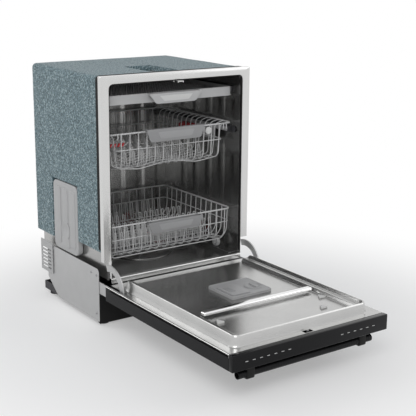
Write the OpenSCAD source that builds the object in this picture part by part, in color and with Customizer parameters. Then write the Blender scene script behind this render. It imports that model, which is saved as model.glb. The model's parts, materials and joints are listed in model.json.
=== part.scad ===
// Built-in dishwasher, door open: cabinet, door and three racks that slide out over the door.
// Origin: on the floor, under the middle of the open machine. X runs across, Y to the back, Z up.

/* [Cabinet] */
// Width over the front posts
cabinet_w = 598; // [560:1:640]
// Height from the floor to the top of the front beam
cabinet_h = 860; // [840:1:900]
// Depth from the front frame to the back of the tub blanket
cabinet_d = 512; // [500:1:560]
// Height of the base, up to the top of its side plates
base_h = 204; // [200:1:210]
// Face width of a front post
post_w = 30; // [28:1:34]
// Height of the top beam
beam_h = 26; // [24:1:32]
// Front-to-back depth of the frame channel
frame_d = 18; // [16:1:20]
// Height at which the front posts end, above the hinge arms
post_foot_z = 242; // [240:1:250]
// How far the toe kick stands behind the front frame
toe_recess = 56; // [50:1:70]
// Sheet thickness of frame, base and tub
sheet = 1.2; // [1:0.1:1.5]
// Thickness of the felt round the tub
blanket_t = 22; // [18:1:24]

/* [Door] */
// Gap between the top of the frame and the end of the closed door
door_gap = 4; // [2:1:8]
// Thickness of the door's black casing
door_t = 50; // [46:1:56]
// Height of the hinge axis above the floor
hinge_z = 150; // [148:1:152]
// Distance of the hinge axis in front of the frame
hinge_out = 16; // [16:1:17]
// How far the pressed rim of the liner stands up from the casing
rim_rise = 34; // [33:1:35]
// Diameter of the hinge pins
pin_d = 10; // [8:0.5:11]
// Outer diameter of the handle tube
handle_d = 24; // [18:1:28]
// Distance of each end of the handle tube from the side of the door
handle_inset = 39; // [30:1:60]

/* [Racks] */
// Travel of the lower rack
lower_travel = 450; // [400:5:455]
// Gap between the back of a rack and the back of the tub
rack_back_gap = 18; // [16:1:24]
// Gap between the rim of a rack and the wall of the tub
rack_side_gap = 11; // [10:1:14]
// Height of the lower rack's rim above the floor
lower_rim_z = 345; // [330:1:380]
// Depth of the upper rack's rim below the top of the tub's mouth
upper_drop = 174; // [168:1:178]
// Depth of the upper rack below its rim
upper_deep = 132; // [120:1:136]
// Depth of the cutlery tray's top edge below the top of the tub's mouth
tray_drop = 44; // [40:1:48]
// Depth of the cutlery tray
tray_deep = 32; // [28:1:34]
// Diameter of the rim wires
rim_wire = 6; // [5:0.5:6.5]
// Diameter of the basket wires
basket_wire = 4; // [3:0.5:4.5]
// Pitch of the basket wires
wire_pitch = 28; // [24:1:36]
// Radius of the lower rack's wheels
wheel_r = 18; // [15:1:18]

/* [Fits] */
// Gap between pieces that are fixed to each other
seat = 0.4; // [0.3:0.1:0.6]
// Radial clearance of a pin in its bore
pin_play = 0.08; // [0.05:0.01:0.1]
// Gap between a wheel and the track it runs on
roll_gap = 0.4; // [0.3:0.1:0.6]
// Side gap between two rails that slide on each other
rail_gap = 0.6; // [0.4:0.1:0.8]

/* [Hidden] */

half_w = cabinet_w / 2;
door_reach = cabinet_h - hinge_z - door_gap;  // from the hinge axis to the door's far end
handle_l = cabinet_w - 2 * handle_inset;
// front_y moves the drawing, whose frame face is at y = 0, so that the whole part is centred
front_y = (hinge_out + door_reach - cabinet_d) / 2;
open_x = half_w - post_w;                 // half the mouth of the tub
open_top = cabinet_h - beam_h;
sill_top = base_h - 22;                   // top of the sill
track_z = base_h - 18;                    // the wheels roll at this height
tub_y0 = frame_d + seat;
tub_y1 = cabinet_d - 6;
tub_floor_z = track_z - 16;
tub_mid_y = (frame_d + cabinet_d) / 2 - 3;   // centre of sump and lower arm
stem_r = 6;                               // thread of a levelling foot
foot_x = half_w - 40;
foot_y0 = toe_recess + 26;
foot_y1 = cabinet_d - 60;
tray_bottom = 16;                         // underside of the base
tray_t = 2.5;
base_y1 = cabinet_d - 28;                 // back of the base
base_x = half_w - 14;                     // outer side of the base tray
side_cut_z = base_h + 262;                // the felt is left out over the air break, below this height
side_cut_y0 = tub_mid_y - 72;
side_cut_y1 = tub_mid_y + 120;
top_cut_x0 = -70;                         // and over the worktop plate
top_cut_x1 = 40;
top_cut_y = tub_mid_y - 22;
door_top = hinge_z + 12;                  // inner face of the casing, door open
door_under = door_top - door_t;
door_y0 = -hinge_out + 8;                 // end of the door at the hinge
door_y1 = -hinge_out - door_reach;        // far end of the door
panel_d = 20;                             // depth of the control panel moulding
liner_t = 1.1;
rim_top = door_top + rim_rise;
rim_x = open_x - 5;                       // outer side of the liner's rim
rim_w = 12;
ledge_w = 26;
liner_y0 = -hinge_out - 46;               // the rim starts here
liner_y1 = door_y1 + 44;                  // and ends here
arm_x = half_w - 20;                      // inner face of a hinge arm
latch_slot_x = 16;
arm_slot_y = -hinge_out - 90;             // the hinge arms pass through the flange up to here
latch_y = door_y1 + panel_d + 12;         // the latch hook, door open
latch_z = hinge_z - hinge_out - latch_y;  // its height with the door closed
hook_w = 6;
pan_z = track_z - 12;
rack_y0 = 40;                             // front of the racks when they are in
rack_y1 = tub_y1 - rack_back_gap;
rack_l = rack_y1 - rack_y0;
rack_x = open_x - rack_side_gap - rim_wire / 2;   // centre line of a side rim
upper_rim_z = open_top - upper_drop;
tray_top_z = open_top - tray_drop;
lower_floor_z = track_z + 2 * wheel_r + 8;
tine_x = rack_x - 30;                     // the rows of tines reach this far across
tine_l = 70;
tine_pitch = 25;
function tine_y(k) = rack_y0 + 64 + k * (rack_l - 98) / 7;
wheel_x = open_x - 27;
wheel_t = 12;
wheel_axle_r = 4;
axle_z = track_z + roll_gap + wheel_r;
wheel_y = [rack_y0 + 73, rack_y0 + 177, rack_y1 - 84];
upper_x = rack_x - 37;                    // side panels of the upper rack
upper_floor_z = upper_rim_z - upper_deep;
rail_z = upper_rim_z - 26;                // middle height of the upper rails
rail_y0 = 62;
rail_y1 = cabinet_d - 12;
outer_rail_x = open_x - seat;             // outer face of the fixed rail
fixed_rail_t = 7;
slide_t = 7;
mid_rail_x = outer_rail_x - fixed_rail_t - rail_gap;
inner_rail_x = mid_rail_x - slide_t - rail_gap;
tray_x = open_x - 17;
tray_rail_z = tray_top_z - 13;
handle_z = door_under - 28;
handle_y = door_y1 + 34;
filter_x = -56;                           // centre of the cup filter
filter_y = tub_mid_y + 20;
cup_r = 34;
disp_x = 33;                              // centre of the dispenser
disp_y = -312;
disp_w = 156;
disp_l = 134;
disp_z = pan_z + 10;
well_l = 104;                             // the detergent well ends this far along the dispenser
ring_x = disp_x + 44;                     // centre of the rinse-aid cap
ring_y = disp_y - 14;
cap_r = 25;
arm_l = rack_l - 12;
arm_w = 46;
hub_r = 24;
arm_t = 10;
lower_arm_z = track_z + 16;
arm_pin_r = 8;                            // pin that the lower arm turns on
sump_z = 84;                              // underside of the sump bowl
sump_r = 96;
sump_t = 4;
pump_z = 110;                             // axis of the circulation pump
neck_x = 60;                              // its inlet reaches this far into the bowl
neck_r = 18;
upper_arm_z = upper_floor_z - 34;
feed_r = 6;                                // bore line of the middle arm's feed
feed_z = upper_arm_z + arm_t + 4 + feed_r;
pipe_r = 7;
pipe_y = tub_y1 - pipe_r - 1;              // centre of the pipe up the back wall

module place() { translate([0, front_y, 0]) children(); }
module both_sides() { children(); mirror([1, 0, 0]) children(); }
module block(x0, x1, y0, y1, z0, z1) { translate([x0, y0, z0]) cube([x1 - x0, y1 - y0, z1 - z0]); }
module wire_x(x0, x1, y, z, d) { translate([x0, y, z]) rotate([0, 90, 0]) cylinder(d = d, h = x1 - x0, $fn = 8); }
module wire_y(y0, y1, x, z, d) { translate([x, y1, z]) rotate([90, 0, 0]) cylinder(d = d, h = y1 - y0, $fn = 8); }
module wire_z(z0, z1, x, y, d) { translate([x, y, z0]) cylinder(d = d, h = z1 - z0, $fn = 8); }
module rod_x(x0, x1, y, z, r) { translate([x0, y, z]) rotate([0, 90, 0]) cylinder(r = r, h = x1 - x0, $fn = 48); }
module rod_y(y0, y1, x, z, r) { translate([x, y1, z]) rotate([90, 0, 0]) cylinder(r = r, h = y1 - y0, $fn = 48); }
module rod_z(z0, z1, x, y, r) { translate([x, y, z0]) cylinder(r = r, h = z1 - z0, $fn = 48); }

// ---- tub ----

// Two sides and a top of stainless sheet, folded up as one wrapper with seams at the corners
module tub_wrapper() {
    color("lightgray") place() {
        both_sides() block(open_x, open_x + sheet, tub_y0, tub_y1, tub_floor_z + seat, open_top - sheet);
        block(-open_x - sheet, open_x + sheet, tub_y0, tub_y1, open_top - sheet + seat, open_top + seat);
    }
}

module tub_back() {
    color("darkgray") place()
        block(-open_x - sheet, open_x + sheet, tub_y1 + seat, tub_y1 + seat + sheet, tub_floor_z, open_top);
}

// Floor plate with the sump hole, and a raised ledge along each side for the wheels
module tub_floor() {
    ledge_x = wheel_x - wheel_t;
    color("lightgray") place() {
        difference() {
            block(-ledge_x + seat, ledge_x - seat, tub_y0, tub_y1, tub_floor_z - sheet, tub_floor_z);
            translate([0, tub_mid_y, tub_floor_z - 5]) cylinder(r = sump_r, h = 10, $fn = 64);
        }
        both_sides() {
            block(ledge_x, open_x - seat, tub_y0, tub_y1, track_z - sheet, track_z);
            block(ledge_x, ledge_x + sheet, tub_y0, tub_y1, tub_floor_z - sheet, track_z);
        }
    }
}

// Two folded posts, the top beam and the sill of the welded front frame, with seams where they meet
module front_frame() {
    color("silver") place() {
        both_sides() {
            block(open_x, half_w, 0, sheet, post_foot_z, open_top - seat);
            block(open_x, open_x + sheet, 0, frame_d, sill_top + seat, open_top - seat);
            block(half_w - sheet, half_w, 0, frame_d, post_foot_z, open_top - seat);
        }
        block(-half_w, half_w, 0, sheet, open_top, cabinet_h);
        block(-half_w, half_w, 0, frame_d, open_top, open_top + sheet);
        block(-half_w, half_w, 0, frame_d, cabinet_h - sheet, cabinet_h);
        block(-open_x - sheet, open_x + sheet, 0, sheet, hinge_z, sill_top);
        block(-open_x - sheet, open_x + sheet, 0, frame_d, sill_top - sheet, sill_top);
    }
}

// Rubber strip round three sides of the mouth
module tub_gasket() {
    lip = 3;
    color("dimgray") place() {
        both_sides() block(open_x - lip - seat, open_x - seat, 3, 11, track_z + 6, open_top - seat - 2 * lip);
        block(-open_x + seat, open_x - seat, 3, 11, open_top - seat - lip, open_top - seat);
    }
}

// Felt slabs, left clear over the air break and over the worktop plate
module insulation_blanket() {
    x0 = open_x + sheet + seat;
    x1 = x0 + blanket_t;
    y0 = frame_d + 6;
    top_z = open_top + 2 * seat;
    z0 = post_foot_z + 2;
    z1 = cabinet_h - 2;
    color("lightsteelblue") place() {
        block(x0, x1, y0, cabinet_d, z0, top_z - seat);
        block(-x1, -x0, y0, cabinet_d, side_cut_z, top_z - seat);
        block(-x1, -x0, y0, side_cut_y0, z0 + 26, side_cut_z - seat);
        block(-x1, -x0, side_cut_y1, cabinet_d, z0, side_cut_z - seat);
        block(-x1, top_cut_x0, y0, top_cut_y, top_z, z1);
        block(top_cut_x1, x1, y0, top_cut_y, top_z, z1);
        block(-x1, x1, top_cut_y + seat, cabinet_d, top_z, z1);
    }
}

// Plate in the front cut-out of the felt, with the two screw holes for the worktop
module worktop_plate() {
    z0 = open_top + 2 * seat;
    mid_x = (top_cut_x0 + top_cut_x1) / 2;
    hole_span = 80;
    hole_d = 5;
    color("dimgray") place() difference() {
        block(top_cut_x0 + 2, top_cut_x1 - 2, frame_d + seat, top_cut_y - 2, z0, z0 + 4);
        for (k = [-0.5, 0.5])
            translate([mid_x + k * hole_span, frame_d + 30, z0 - 1]) cylinder(d = hole_d, h = 6, $fn = 32);
    }
}

// Flat moulded water box against the left wall of the tub
module air_break() {
    x0 = open_x + sheet + seat;
    margin = 6;
    color("whitesmoke") place()
        block(-x0 - blanket_t - 2, -x0, side_cut_y0 + margin, side_cut_y1 - margin,
            base_h + margin, side_cut_z - margin + 1);
}

// ---- base ----

module base_tray() {
    y0 = toe_recess + 6;
    wall = 2;
    wall_z = tray_bottom + 30;
    color("dimgray") place() difference() {
        union() {
            block(-base_x, base_x, y0, base_y1, tray_bottom, tray_bottom + tray_t);
            both_sides() block(base_x - wall, base_x, y0, base_y1, tray_bottom, wall_z);
            block(-base_x, base_x, base_y1 - wall, base_y1, tray_bottom, wall_z);
        }
        for (x = [-foot_x, foot_x], y = [foot_y0, foot_y1])
            translate([x, y, tray_bottom - 1]) cylinder(r = stem_r + 3 * pin_play, h = 10, $fn = 48);
    }
}

// Galvanised side plates with a chamfered foot at the back
module base_sides() {
    y0 = toe_recess - 4;
    y1 = base_y1 - 44;
    nick = 8;                             // cut off the front top corner
    heel_y = 80;                          // and off the rear bottom corner
    heel_z = 60;
    color("silver") place() both_sides()
        translate([-half_w + nick + sheet, 0, 0]) rotate([90, 0, -90]) linear_extrude(sheet)
            polygon([[-y0, tray_bottom], [-y0, base_h - nick], [-y0 - nick, base_h],
                [-y1, base_h], [-y1, tray_bottom + heel_z], [heel_y - y1, tray_bottom]]);
}

module toe_kick() {
    color("black") place()
        block(-base_x - 2, base_x + 2, toe_recess, toe_recess + 3, 6, door_under - 4);
}

// Slotted plastic end of the base, at the back on both sides
module rear_grille() {
    x1 = 6 - half_w;
    y0 = base_y1 - 92;
    z0 = 96;
    edge = 10;
    slot = 6;
    pitch = 14;
    color("gainsboro") place() both_sides() difference() {
        block(x1 - 3, x1, y0, base_y1, z0, base_h + edge);
        for (z = [z0 + pitch : pitch : base_h - 2 * slot])
            block(x1 - 4, x1 + 1, y0 + edge, base_y1 - edge, z, z + slot);
    }
}

module foot(x, y) {
    pad_r = 18;
    pad_z = 8;
    rod_z(0, pad_z, x, y, pad_r);
    rod_z(pad_z - 1, tray_bottom + 32, x, y, stem_r);
}

module foot_front_left() { color("darkslategray") place() foot(-foot_x, foot_y0); }
module foot_front_right() { color("darkslategray") place() foot(foot_x, foot_y0); }
module feet_rear() { color("darkslategray") place() both_sides() foot(foot_x, foot_y1); }

// Plates inside the base sides, with a nose that holds the hinge pin
module hinge_brackets() {
    x0 = half_w - 13;
    nose_r = pin_d / 2 + 4;
    color("gray") place() both_sides() difference() {
        union() {
            rod_x(x0, x0 + 3, -hinge_out, hinge_z, nose_r);
            block(x0, x0 + 3, -hinge_out, toe_recess + 30, hinge_z - nose_r, hinge_z + nose_r);
            block(x0, x0 + 3, 8, toe_recess + 30, door_under + 6, hinge_z + nose_r);
        }
        rod_x(x0 - 1, x0 + 4, -hinge_out, hinge_z, pin_d / 2 + pin_play);
    }
}

// Tension springs that balance the door, stretched because the door is open
module balance_springs() {
    x = half_w - 34;
    z = 70;
    y0 = toe_recess + 34;
    y1 = toe_recess + 74;
    coil_l = 200;
    color("gray") place() both_sides() {
        rod_y(y1, y1 + coil_l, x, z, 8);
        rod_y(y0, y1 + 1, x, z, 2);
    }
}

// Loop under the beam that the latch grips through the slot in the door
module door_striker() {
    z1 = open_top - seat;
    loop_x = 12;
    loop_y = -12;
    bar = 3;
    bar_z = latch_z + hook_w / 2 + seat;      // the cross bar passes just above the hook
    color("gainsboro") place() {
        block(-loop_x - 2, loop_x + 2, -loop_y, frame_d - 1, bar_z - bar, z1);
        both_sides() block(loop_x - bar, loop_x, loop_y, 1 - loop_y, bar_z - bar, bar_z + bar);
        block(-loop_x, loop_x, loop_y, loop_y + bar, bar_z, bar_z + bar);
    }
}

// Solenoid valve with a 3/4 inch threaded stub for the supply hose
module inlet_valve() {
    x = 81 - half_w;
    z = 82;
    half = 22;
    thread_r = 13.2;
    color("white") place() {
        block(x - half, x + half, base_y1 - 2 * half, base_y1 - 3, z - half, z + half);
        rod_y(base_y1 - 4, base_y1 + 14, x, z, thread_r);
    }
}

// Drain pump with the spigot that the drain hose slides over
module drain_pump() {
    x = half_w - 77;
    z = 84;
    y1 = base_y1 - 14;
    body_l = 100;
    body_r = 26;
    spigot_r = 9.5;
    color("lightgray") place() {
        rod_y(y1 - body_l, y1, x, z, body_r);
        rod_y(y1 - 1, base_y1 + 24, x, z, spigot_r);
    }
}

module junction_box() {
    x = 95;
    z = 125;
    half_x = 35;
    half_z = 25;
    gland_r = 8;
    color("black") place() difference() {
        block(x - half_x, x + half_x, base_y1 - 40, base_y1 + 8, z - half_z, z + half_z);
        rod_y(base_y1 - 10, base_y1 + 10, x, z, gland_r);
    }
}

// Bowl under the tub floor, with the pin that carries the lower arm
module sump() {
    color("lightgray") place() {
        difference() {
            rod_z(sump_z, tub_floor_z - sheet - seat, 0, tub_mid_y, sump_r + sump_t);
            rod_z(sump_z + sump_t, tub_floor_z, 0, tub_mid_y, sump_r);
            rod_x(neck_x, neck_x + 80, tub_mid_y, pump_z, neck_r + 2);
        }
        rod_z(sump_z + sump_t - 1, lower_arm_z + 6, 0, tub_mid_y, arm_pin_r);
    }
}

module circulation_pump() {
    motor_r = 45;
    motor_l = 80;
    x1 = sump_r + 14;
    color("gray") place() {
        rod_x(neck_x, x1, tub_mid_y, pump_z, neck_r);
        rod_x(x1 - 1, x1 + motor_l, tub_mid_y, pump_z, motor_r);
    }
}

module counterweight() {
    half_l = 190;
    y0 = base_y1 - 84;
    thick = 60;
    tall = 73;
    z0 = tray_bottom + tray_t + seat;
    color("dimgray") place() block(-half_l, half_l, y0, y0 + thick, z0, z0 + tall);
}

// Low tray of pierced stainless round the sump
module filter_plate() {
    plate_r = sump_r + 22;
    color("silver") place() difference() {
        rod_z(tub_floor_z + seat, tub_floor_z + seat + 2, 0, tub_mid_y, plate_r);
        rod_z(tub_floor_z - 1, tub_floor_z + 5, 0, tub_mid_y, arm_pin_r + 6);
        rod_z(tub_floor_z - 1, tub_floor_z + 5, filter_x, filter_y, cup_r + 1);
    }
}

// Cup filter that lifts out after a quarter turn
module filter_cup() {
    z0 = sump_z + 16;
    wall = 3;
    color("lightgray") place() difference() {
        rod_z(z0, tub_floor_z + 8, filter_x, filter_y, cup_r);
        rod_z(z0 + wall, tub_floor_z + 9, filter_x, filter_y, cup_r - wall);
    }
}

// Screw cap of the salt store, in the floor at the right
module salt_cap() {
    x = 150;
    y = tub_mid_y + 128;
    cap_r = 34;
    cap_z = tub_floor_z + 14;
    color("firebrick") place() {
        rod_z(tub_floor_z + seat, cap_z, x, y, cap_r);
        block(x - cap_r + 4, x + cap_r - 4, y - 4, y + 4, cap_z - 1, cap_z + 8);
    }
}

// Pipe up the back wall, with a mouth for the middle arm's feed
module feed_pipe() {
    color("lightgray") place() {
        rod_z(tub_floor_z + seat, open_top - 30, 0, pipe_y, pipe_r);
        rod_y(rack_y1 + 2, pipe_y, 0, feed_z, feed_r);
    }
}

// ---- rails ----

// Four rails screwed to the tub walls: a pair for the upper rack and a pair for the tray
module fixed_rails() {
    color("black") place() both_sides() {
        block(outer_rail_x - fixed_rail_t, outer_rail_x, rail_y0, rail_y1, rail_z - 12, rail_z + 12);
        block(tray_x + 4, outer_rail_x, rail_y0, rail_y1, tray_rail_z - 9, tray_rail_z + 9);
    }
}

module middle_rails() {
    color("dimgray") place() both_sides()
        block(mid_rail_x - slide_t, mid_rail_x, rail_y0, rail_y1, rail_z - 9, rail_z + 9);
}

// ---- spray arms ----

module arm_body(z) {
    end = arm_l / 2 - arm_w / 2;
    translate([0, tub_mid_y, z]) {
        translate([-end, -arm_w / 2, 0]) cube([2 * end, arm_w, arm_t]);
        for (x = [-end, end]) translate([x, 0, 0]) cylinder(d = arm_w, h = arm_t, $fn = 48);
    }
}

module lower_spray_arm() {
    color("gainsboro") place() difference() {
        union() {
            arm_body(lower_arm_z);
            rod_z(lower_arm_z - 6, lower_arm_z + arm_t + 4, 0, tub_mid_y, hub_r);
        }
        rod_z(lower_arm_z - 10, lower_arm_z + 8, 0, tub_mid_y, arm_pin_r + pin_play);
    }
}

module middle_spray_arm() {
    color("gainsboro") place() {
        arm_body(upper_arm_z);
        rod_z(upper_arm_z, upper_arm_z + arm_t + 4, 0, tub_mid_y, hub_r - 4);
    }
}

// Tube under the upper rack that brings water from the back to the hub of the middle arm
module upper_feed_tube() {
    color("gainsboro") place() {
        rod_y(tub_mid_y, rack_y1 - 2, 0, feed_z, feed_r);
        rod_z(feed_z - feed_r + seat, feed_z + feed_r - seat, 0, tub_mid_y, hub_r - 6);
    }
}

// ---- door ----

// Black casing: outer panel and two side walls
module door_shell() {
    color("black") place() {
        block(-half_w, half_w, door_y1 + panel_d + seat, door_y0, door_under, door_under + sheet);
        both_sides()
            block(half_w - sheet, half_w, door_y1 + panel_d + seat, door_y0, door_under, door_top - liner_t - seat);
    }
}

// Pressed inner door: flange, raised rim, wheel tracks and a sunk pan, in strips that meet at the pressed edges
module door_liner() {
    ledge_x = rim_x - rim_w - ledge_w;
    flange_z = door_top - liner_t;
    far_y = door_y1 + panel_d + seat;
    pan_y1 = liner_y1 + rim_w + seat;
    color("silver") place() {
        difference() {
            block(-half_w, half_w, far_y, door_y0, flange_z, door_top);
            block(-rim_x + 4, rim_x - 4, liner_y1 + 4, liner_y0 - 4, flange_z - 1, door_top + 1);
            both_sides() block(arm_x - 2, arm_x + 14, arm_slot_y, 0, flange_z - 1, door_top + 1);
            block(-latch_slot_x, latch_slot_x, far_y + 3, liner_y1 - 3, flange_z - 1, door_top + 1);
        }
        both_sides() channel(rim_x - rim_w, rim_x, pan_y1, liner_y0, door_top + seat, rim_top);
        difference() {
            block(-rim_x, rim_x, liner_y1, liner_y1 + rim_w, door_top + seat, rim_top);
            block(-rim_x + liner_t, rim_x - liner_t, liner_y1 + liner_t, liner_y1 + rim_w - liner_t,
                0, rim_top - liner_t);
        }
        both_sides() block(ledge_x, rim_x - rim_w - seat, pan_y1, liner_y0, track_z - liner_t, track_z);
        block(-ledge_x + seat, ledge_x - seat, pan_y1, liner_y0, pan_z - liner_t, pan_z);
    }
}

// A strip folded down along both long edges
module channel(x0, x1, y0, y1, z0, z1) {
    block(x0, x1, y0, y1, z1 - liner_t, z1);
    block(x0, x0 + liner_t, y0, y1, z0, z1);
    block(x1 - liner_t, x1, y0, y1, z0, z1);
}

// Glossy strip across the far end of the door, with the finger slot of the latch left clear
module control_panel() {
    color("black") place()
        block(-half_w, half_w, door_y1, door_y1 + panel_d, door_under, door_top);
}

// Steel tube, open at both ends
module door_handle() {
    color("black") place() difference() {
        rod_x(-handle_l / 2, handle_l / 2, handle_y, handle_z, handle_d / 2);
        rod_x(-handle_l / 2 - 1, handle_l / 2 + 1, handle_y, handle_z, handle_d / 2 - 1.5);
    }
}

// Feet that hold the tube off the outer panel
module handle_brackets() {
    x0 = handle_l / 2 - 46;
    wide = 18;
    grip_r = handle_d / 2 + 2;
    color("black") place() both_sides() difference() {
        block(x0, x0 + wide, handle_y - grip_r, handle_y + grip_r, handle_z - grip_r - 2, door_under - seat);
        rod_x(x0 - 4, x0 + wide + 4, handle_y, handle_z, handle_d / 2 + pin_play);
    }
}

// Curved steel arms on the hinge axis, each with its pin
module hinge_arms() {
    plate_t = 5;
    outer_r = 84;
    inner_r = 62;
    leg_l = 160;
    color("lightgray") place() both_sides() {
        translate([arm_x, -hinge_out, hinge_z]) rotate([90, 0, 90]) intersection() {
            difference() {
                cylinder(r = outer_r, h = plate_t, $fn = 96);
                translate([0, 0, -1]) cylinder(r = inner_r, h = plate_t + 2, $fn = 96);
            }
            translate([0, 0, -1]) linear_extrude(plate_t + 2)
                polygon([[0, 0], [30, 86], [0, 120], [-120, 120], [-120, 0]]);
        }
        block(arm_x, arm_x + plate_t, -hinge_out - leg_l, -hinge_out + 5, hinge_z - 6, hinge_z + 5);
        rod_x(arm_x, half_w - 8, -hinge_out, hinge_z, pin_d / 2);
    }
}

// Detergent dispenser let into the pan
module dispenser() {
    wall = 3;
    x0 = disp_x - disp_w / 2;
    y0 = disp_y - disp_l / 2;
    color("gray") place() difference() {
        block(x0, x0 + disp_w, y0, y0 + disp_l, pan_z + seat, disp_z);
        block(x0 + 8, disp_x, y0 + 10, y0 + well_l, pan_z + wall, disp_z + 1);
        rod_z(pan_z + wall, disp_z + 1, ring_x, ring_y, cap_r + 3 * pin_play);
    }
}

// Flat lid that slides off the detergent well
module dispenser_lid() {
    color("gray") place()
        block(disp_x - disp_w / 2 + 6, disp_x + 2, disp_y - disp_l / 2 + 8, disp_y - disp_l / 2 + well_l + 2,
            disp_z + seat, disp_z + 3);
}

module rinse_cap() {
    color("slategray") place() {
        rod_z(pan_z + 3 + seat, disp_z + 2, ring_x, ring_y, cap_r);
        block(ring_x - 3, ring_x + 3, ring_y - 20, ring_y + 20, disp_z + 1, disp_z + 5);
    }
}

// Bright rail across the pan that turns spray away from the vents
module baffle_rail() {
    x = rim_x - rim_w - ledge_w - 11;
    y0 = -464;
    y1 = -440;
    wall = 4;
    color("white") place() difference() {
        block(-x, x, y0, y1, pan_z + seat, track_z + 6);
        block(-x + wall, x - wall, y0 - 2, (y0 + y1) / 2, pan_z + 3, track_z + 6 - wall);
    }
}

// Hook in the slot at the far end of the door
module latch_hook() {
    color("dimgray") place() {
        rod_x(-hook_w, hook_w, latch_y, hinge_z, hook_w / 2 + 1);
        block(-hook_w / 2, hook_w / 2, latch_y - hook_w / 2, latch_y + hook_w / 2, hinge_z, door_top + 3);
    }
}

// ---- lower rack ----

// A flat grid of wires lying in the floor of a rack
module floor_grid(x, z) {
    n = floor(2 * x / wire_pitch / 2);
    step = x / n;
    for (i = [-n : n]) wire_y(rack_y0 + 4, rack_y1 - 4, i * step, z, basket_wire);
    for (i = [0 : 6]) wire_x(-x - 1, x + 1, rack_y0 + 12 + i * (rack_l - 24) / 6, z - basket_wire * 0.7, basket_wire);
}

// A wall across the rack, made of upright wires between a rail and the rim
module end_wall(x, y, z0, z1) {
    n = floor(2 * x / wire_pitch / 2);
    step = x / n;
    for (i = [-n : n]) wire_z(z0, z1, i * step, y, basket_wire);
    wire_x(-x - 1, x + 1, y + basket_wire * 0.7, z0 + 3, basket_wire);
    wire_x(-x - 1, x + 1, y, z1, rim_wire);
}

// The same along one side
module side_wall(x, z0, z1) {
    n = floor((rack_l - 30) / wire_pitch);
    step = (rack_l - 30) / n;
    for (i = [0 : n]) wire_z(z0, z1, x, rack_y0 + 15 + i * step, basket_wire);
    wire_y(rack_y0 + 12, rack_y1 - 12, x - basket_wire * 0.7, z0 + 3, basket_wire);
    wire_y(rack_y0 + 12, rack_y1 - 12, x, z1, rim_wire);
}

// The floor, and six clips with the pins that the wheels turn on
module lower_rack_floor() {
    clip_x = wheel_x - wheel_t / 2 - seat;
    color("lightgray") place() {
        floor_grid(rack_x - 16, lower_floor_z);
        both_sides() for (y = wheel_y) {
            block(clip_x - 4, clip_x, y - 8, y + 8, axle_z - 8, lower_floor_z - 6);
            rod_x(clip_x - 1, wheel_x + wheel_t / 2 + 2, y, axle_z, wheel_axle_r);
        }
    }
}

module lower_rack_walls() {
    z0 = lower_floor_z + basket_wire;
    color("lightgray") place() {
        both_sides() side_wall(rack_x, z0, lower_rim_z);
        end_wall(rack_x - 12, rack_y0 + 3, z0, lower_rim_z);
        end_wall(rack_x - 12, rack_y1 - 3, z0, lower_rim_z);
    }
}

// Trapezoid grip seen from the front, with a finger gap behind it
module grip(z1, top, bottom, tall) {
    y0 = rack_y0 - 26;
    translate([0, y0 + 4, 0]) rotate([90, 0, 0]) linear_extrude(4)
        polygon([[-bottom / 2, z1 - tall], [bottom / 2, z1 - tall], [top / 2, z1], [-top / 2, z1]]);
    both_sides() block(top / 2 - 16, top / 2 - 8, y0 + 3, rack_y0 - 1, z1 - 8, z1);
    both_sides() block(bottom / 2 - 8, bottom / 2, y0 + 3, rack_y0 - 1, z1 - tall, z1 - tall + 8);
}

module lower_rack_handle() { color("gray") place() grip(lower_rim_z + 2, 232, 196, 40); }
module upper_rack_handle() { color("gray") place() grip(upper_rim_z + 10, 238, 204, 44); }

// A comb of upright tines on a cross wire
module comb(x0, x1, y, z, tall, pitch) {
    n = floor((x1 - x0) / pitch);
    step = (x1 - x0) / n;
    wire_x(x0 - 2, x1 + 2, y, z, basket_wire);
    for (i = [0 : n]) wire_z(z, z + tall, x0 + i * step, y, basket_wire - 0.5);
}

module lower_tines() {
    z = lower_floor_z + basket_wire + 1;
    color("lightgray") place() for (k = [0, 1, 2, 4, 5, 7])
        comb(-tine_x, (k == 4 || k == 5) ? -20 : tine_x, tine_y(k), z, tine_l, tine_pitch);
}

module lower_folding_tines() {
    z = lower_floor_z + basket_wire + 1;
    color("gainsboro") place() comb(20, tine_x - 5, tine_y(4), z, tine_l, tine_pitch);
}

// A pair of wheels on one cross line, each bored for its pin
module wheel_pair(y) {
    both_sides() difference() {
        rod_x(wheel_x - wheel_t / 2, wheel_x + wheel_t / 2, y, axle_z, wheel_r);
        rod_x(wheel_x - wheel_t, wheel_x + wheel_t, y, axle_z, wheel_axle_r + pin_play);
    }
}
module lower_wheels_front() { color("whitesmoke") place() wheel_pair(wheel_y[0]); }
module lower_wheels_middle() { color("whitesmoke") place() wheel_pair(wheel_y[1]); }
module lower_wheels_rear() { color("whitesmoke") place() wheel_pair(wheel_y[2]); }

// ---- upper rack ----

// Inner rails with the plates that the rack climbs on
module height_adjusters() {
    color("gainsboro") place() both_sides() {
        block(inner_rail_x - slide_t, inner_rail_x, rail_y0 + 4, rail_y1 - 4, rail_z - 7, rail_z + 7);
        block(inner_rail_x - slide_t - 12, inner_rail_x - slide_t + 1, tub_mid_y - 132, tub_mid_y + 108,
            rail_z - 60, rail_z + 8);
    }
}

module upper_rack_floor() {
    color("lightgray") place() floor_grid(upper_x - 14, upper_floor_z);
}

// Left and right basket panels
module upper_rack_sides() {
    color("lightgray") place() both_sides()
        side_wall(upper_x, upper_floor_z + basket_wire, upper_rim_z - 2 * rim_wire);
}

// Front and rear panels, as wide at the top as the rim
module upper_rack_ends() {
    color("lightgray") place() for (y = [rack_y0 + 3, rack_y1 - 3]) {
        end_wall(upper_x - 10, y, upper_floor_z + basket_wire, upper_rim_z);
        wire_x(-rack_x + 4, rack_x - 4, y, upper_rim_z, rim_wire);
    }
}

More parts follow.
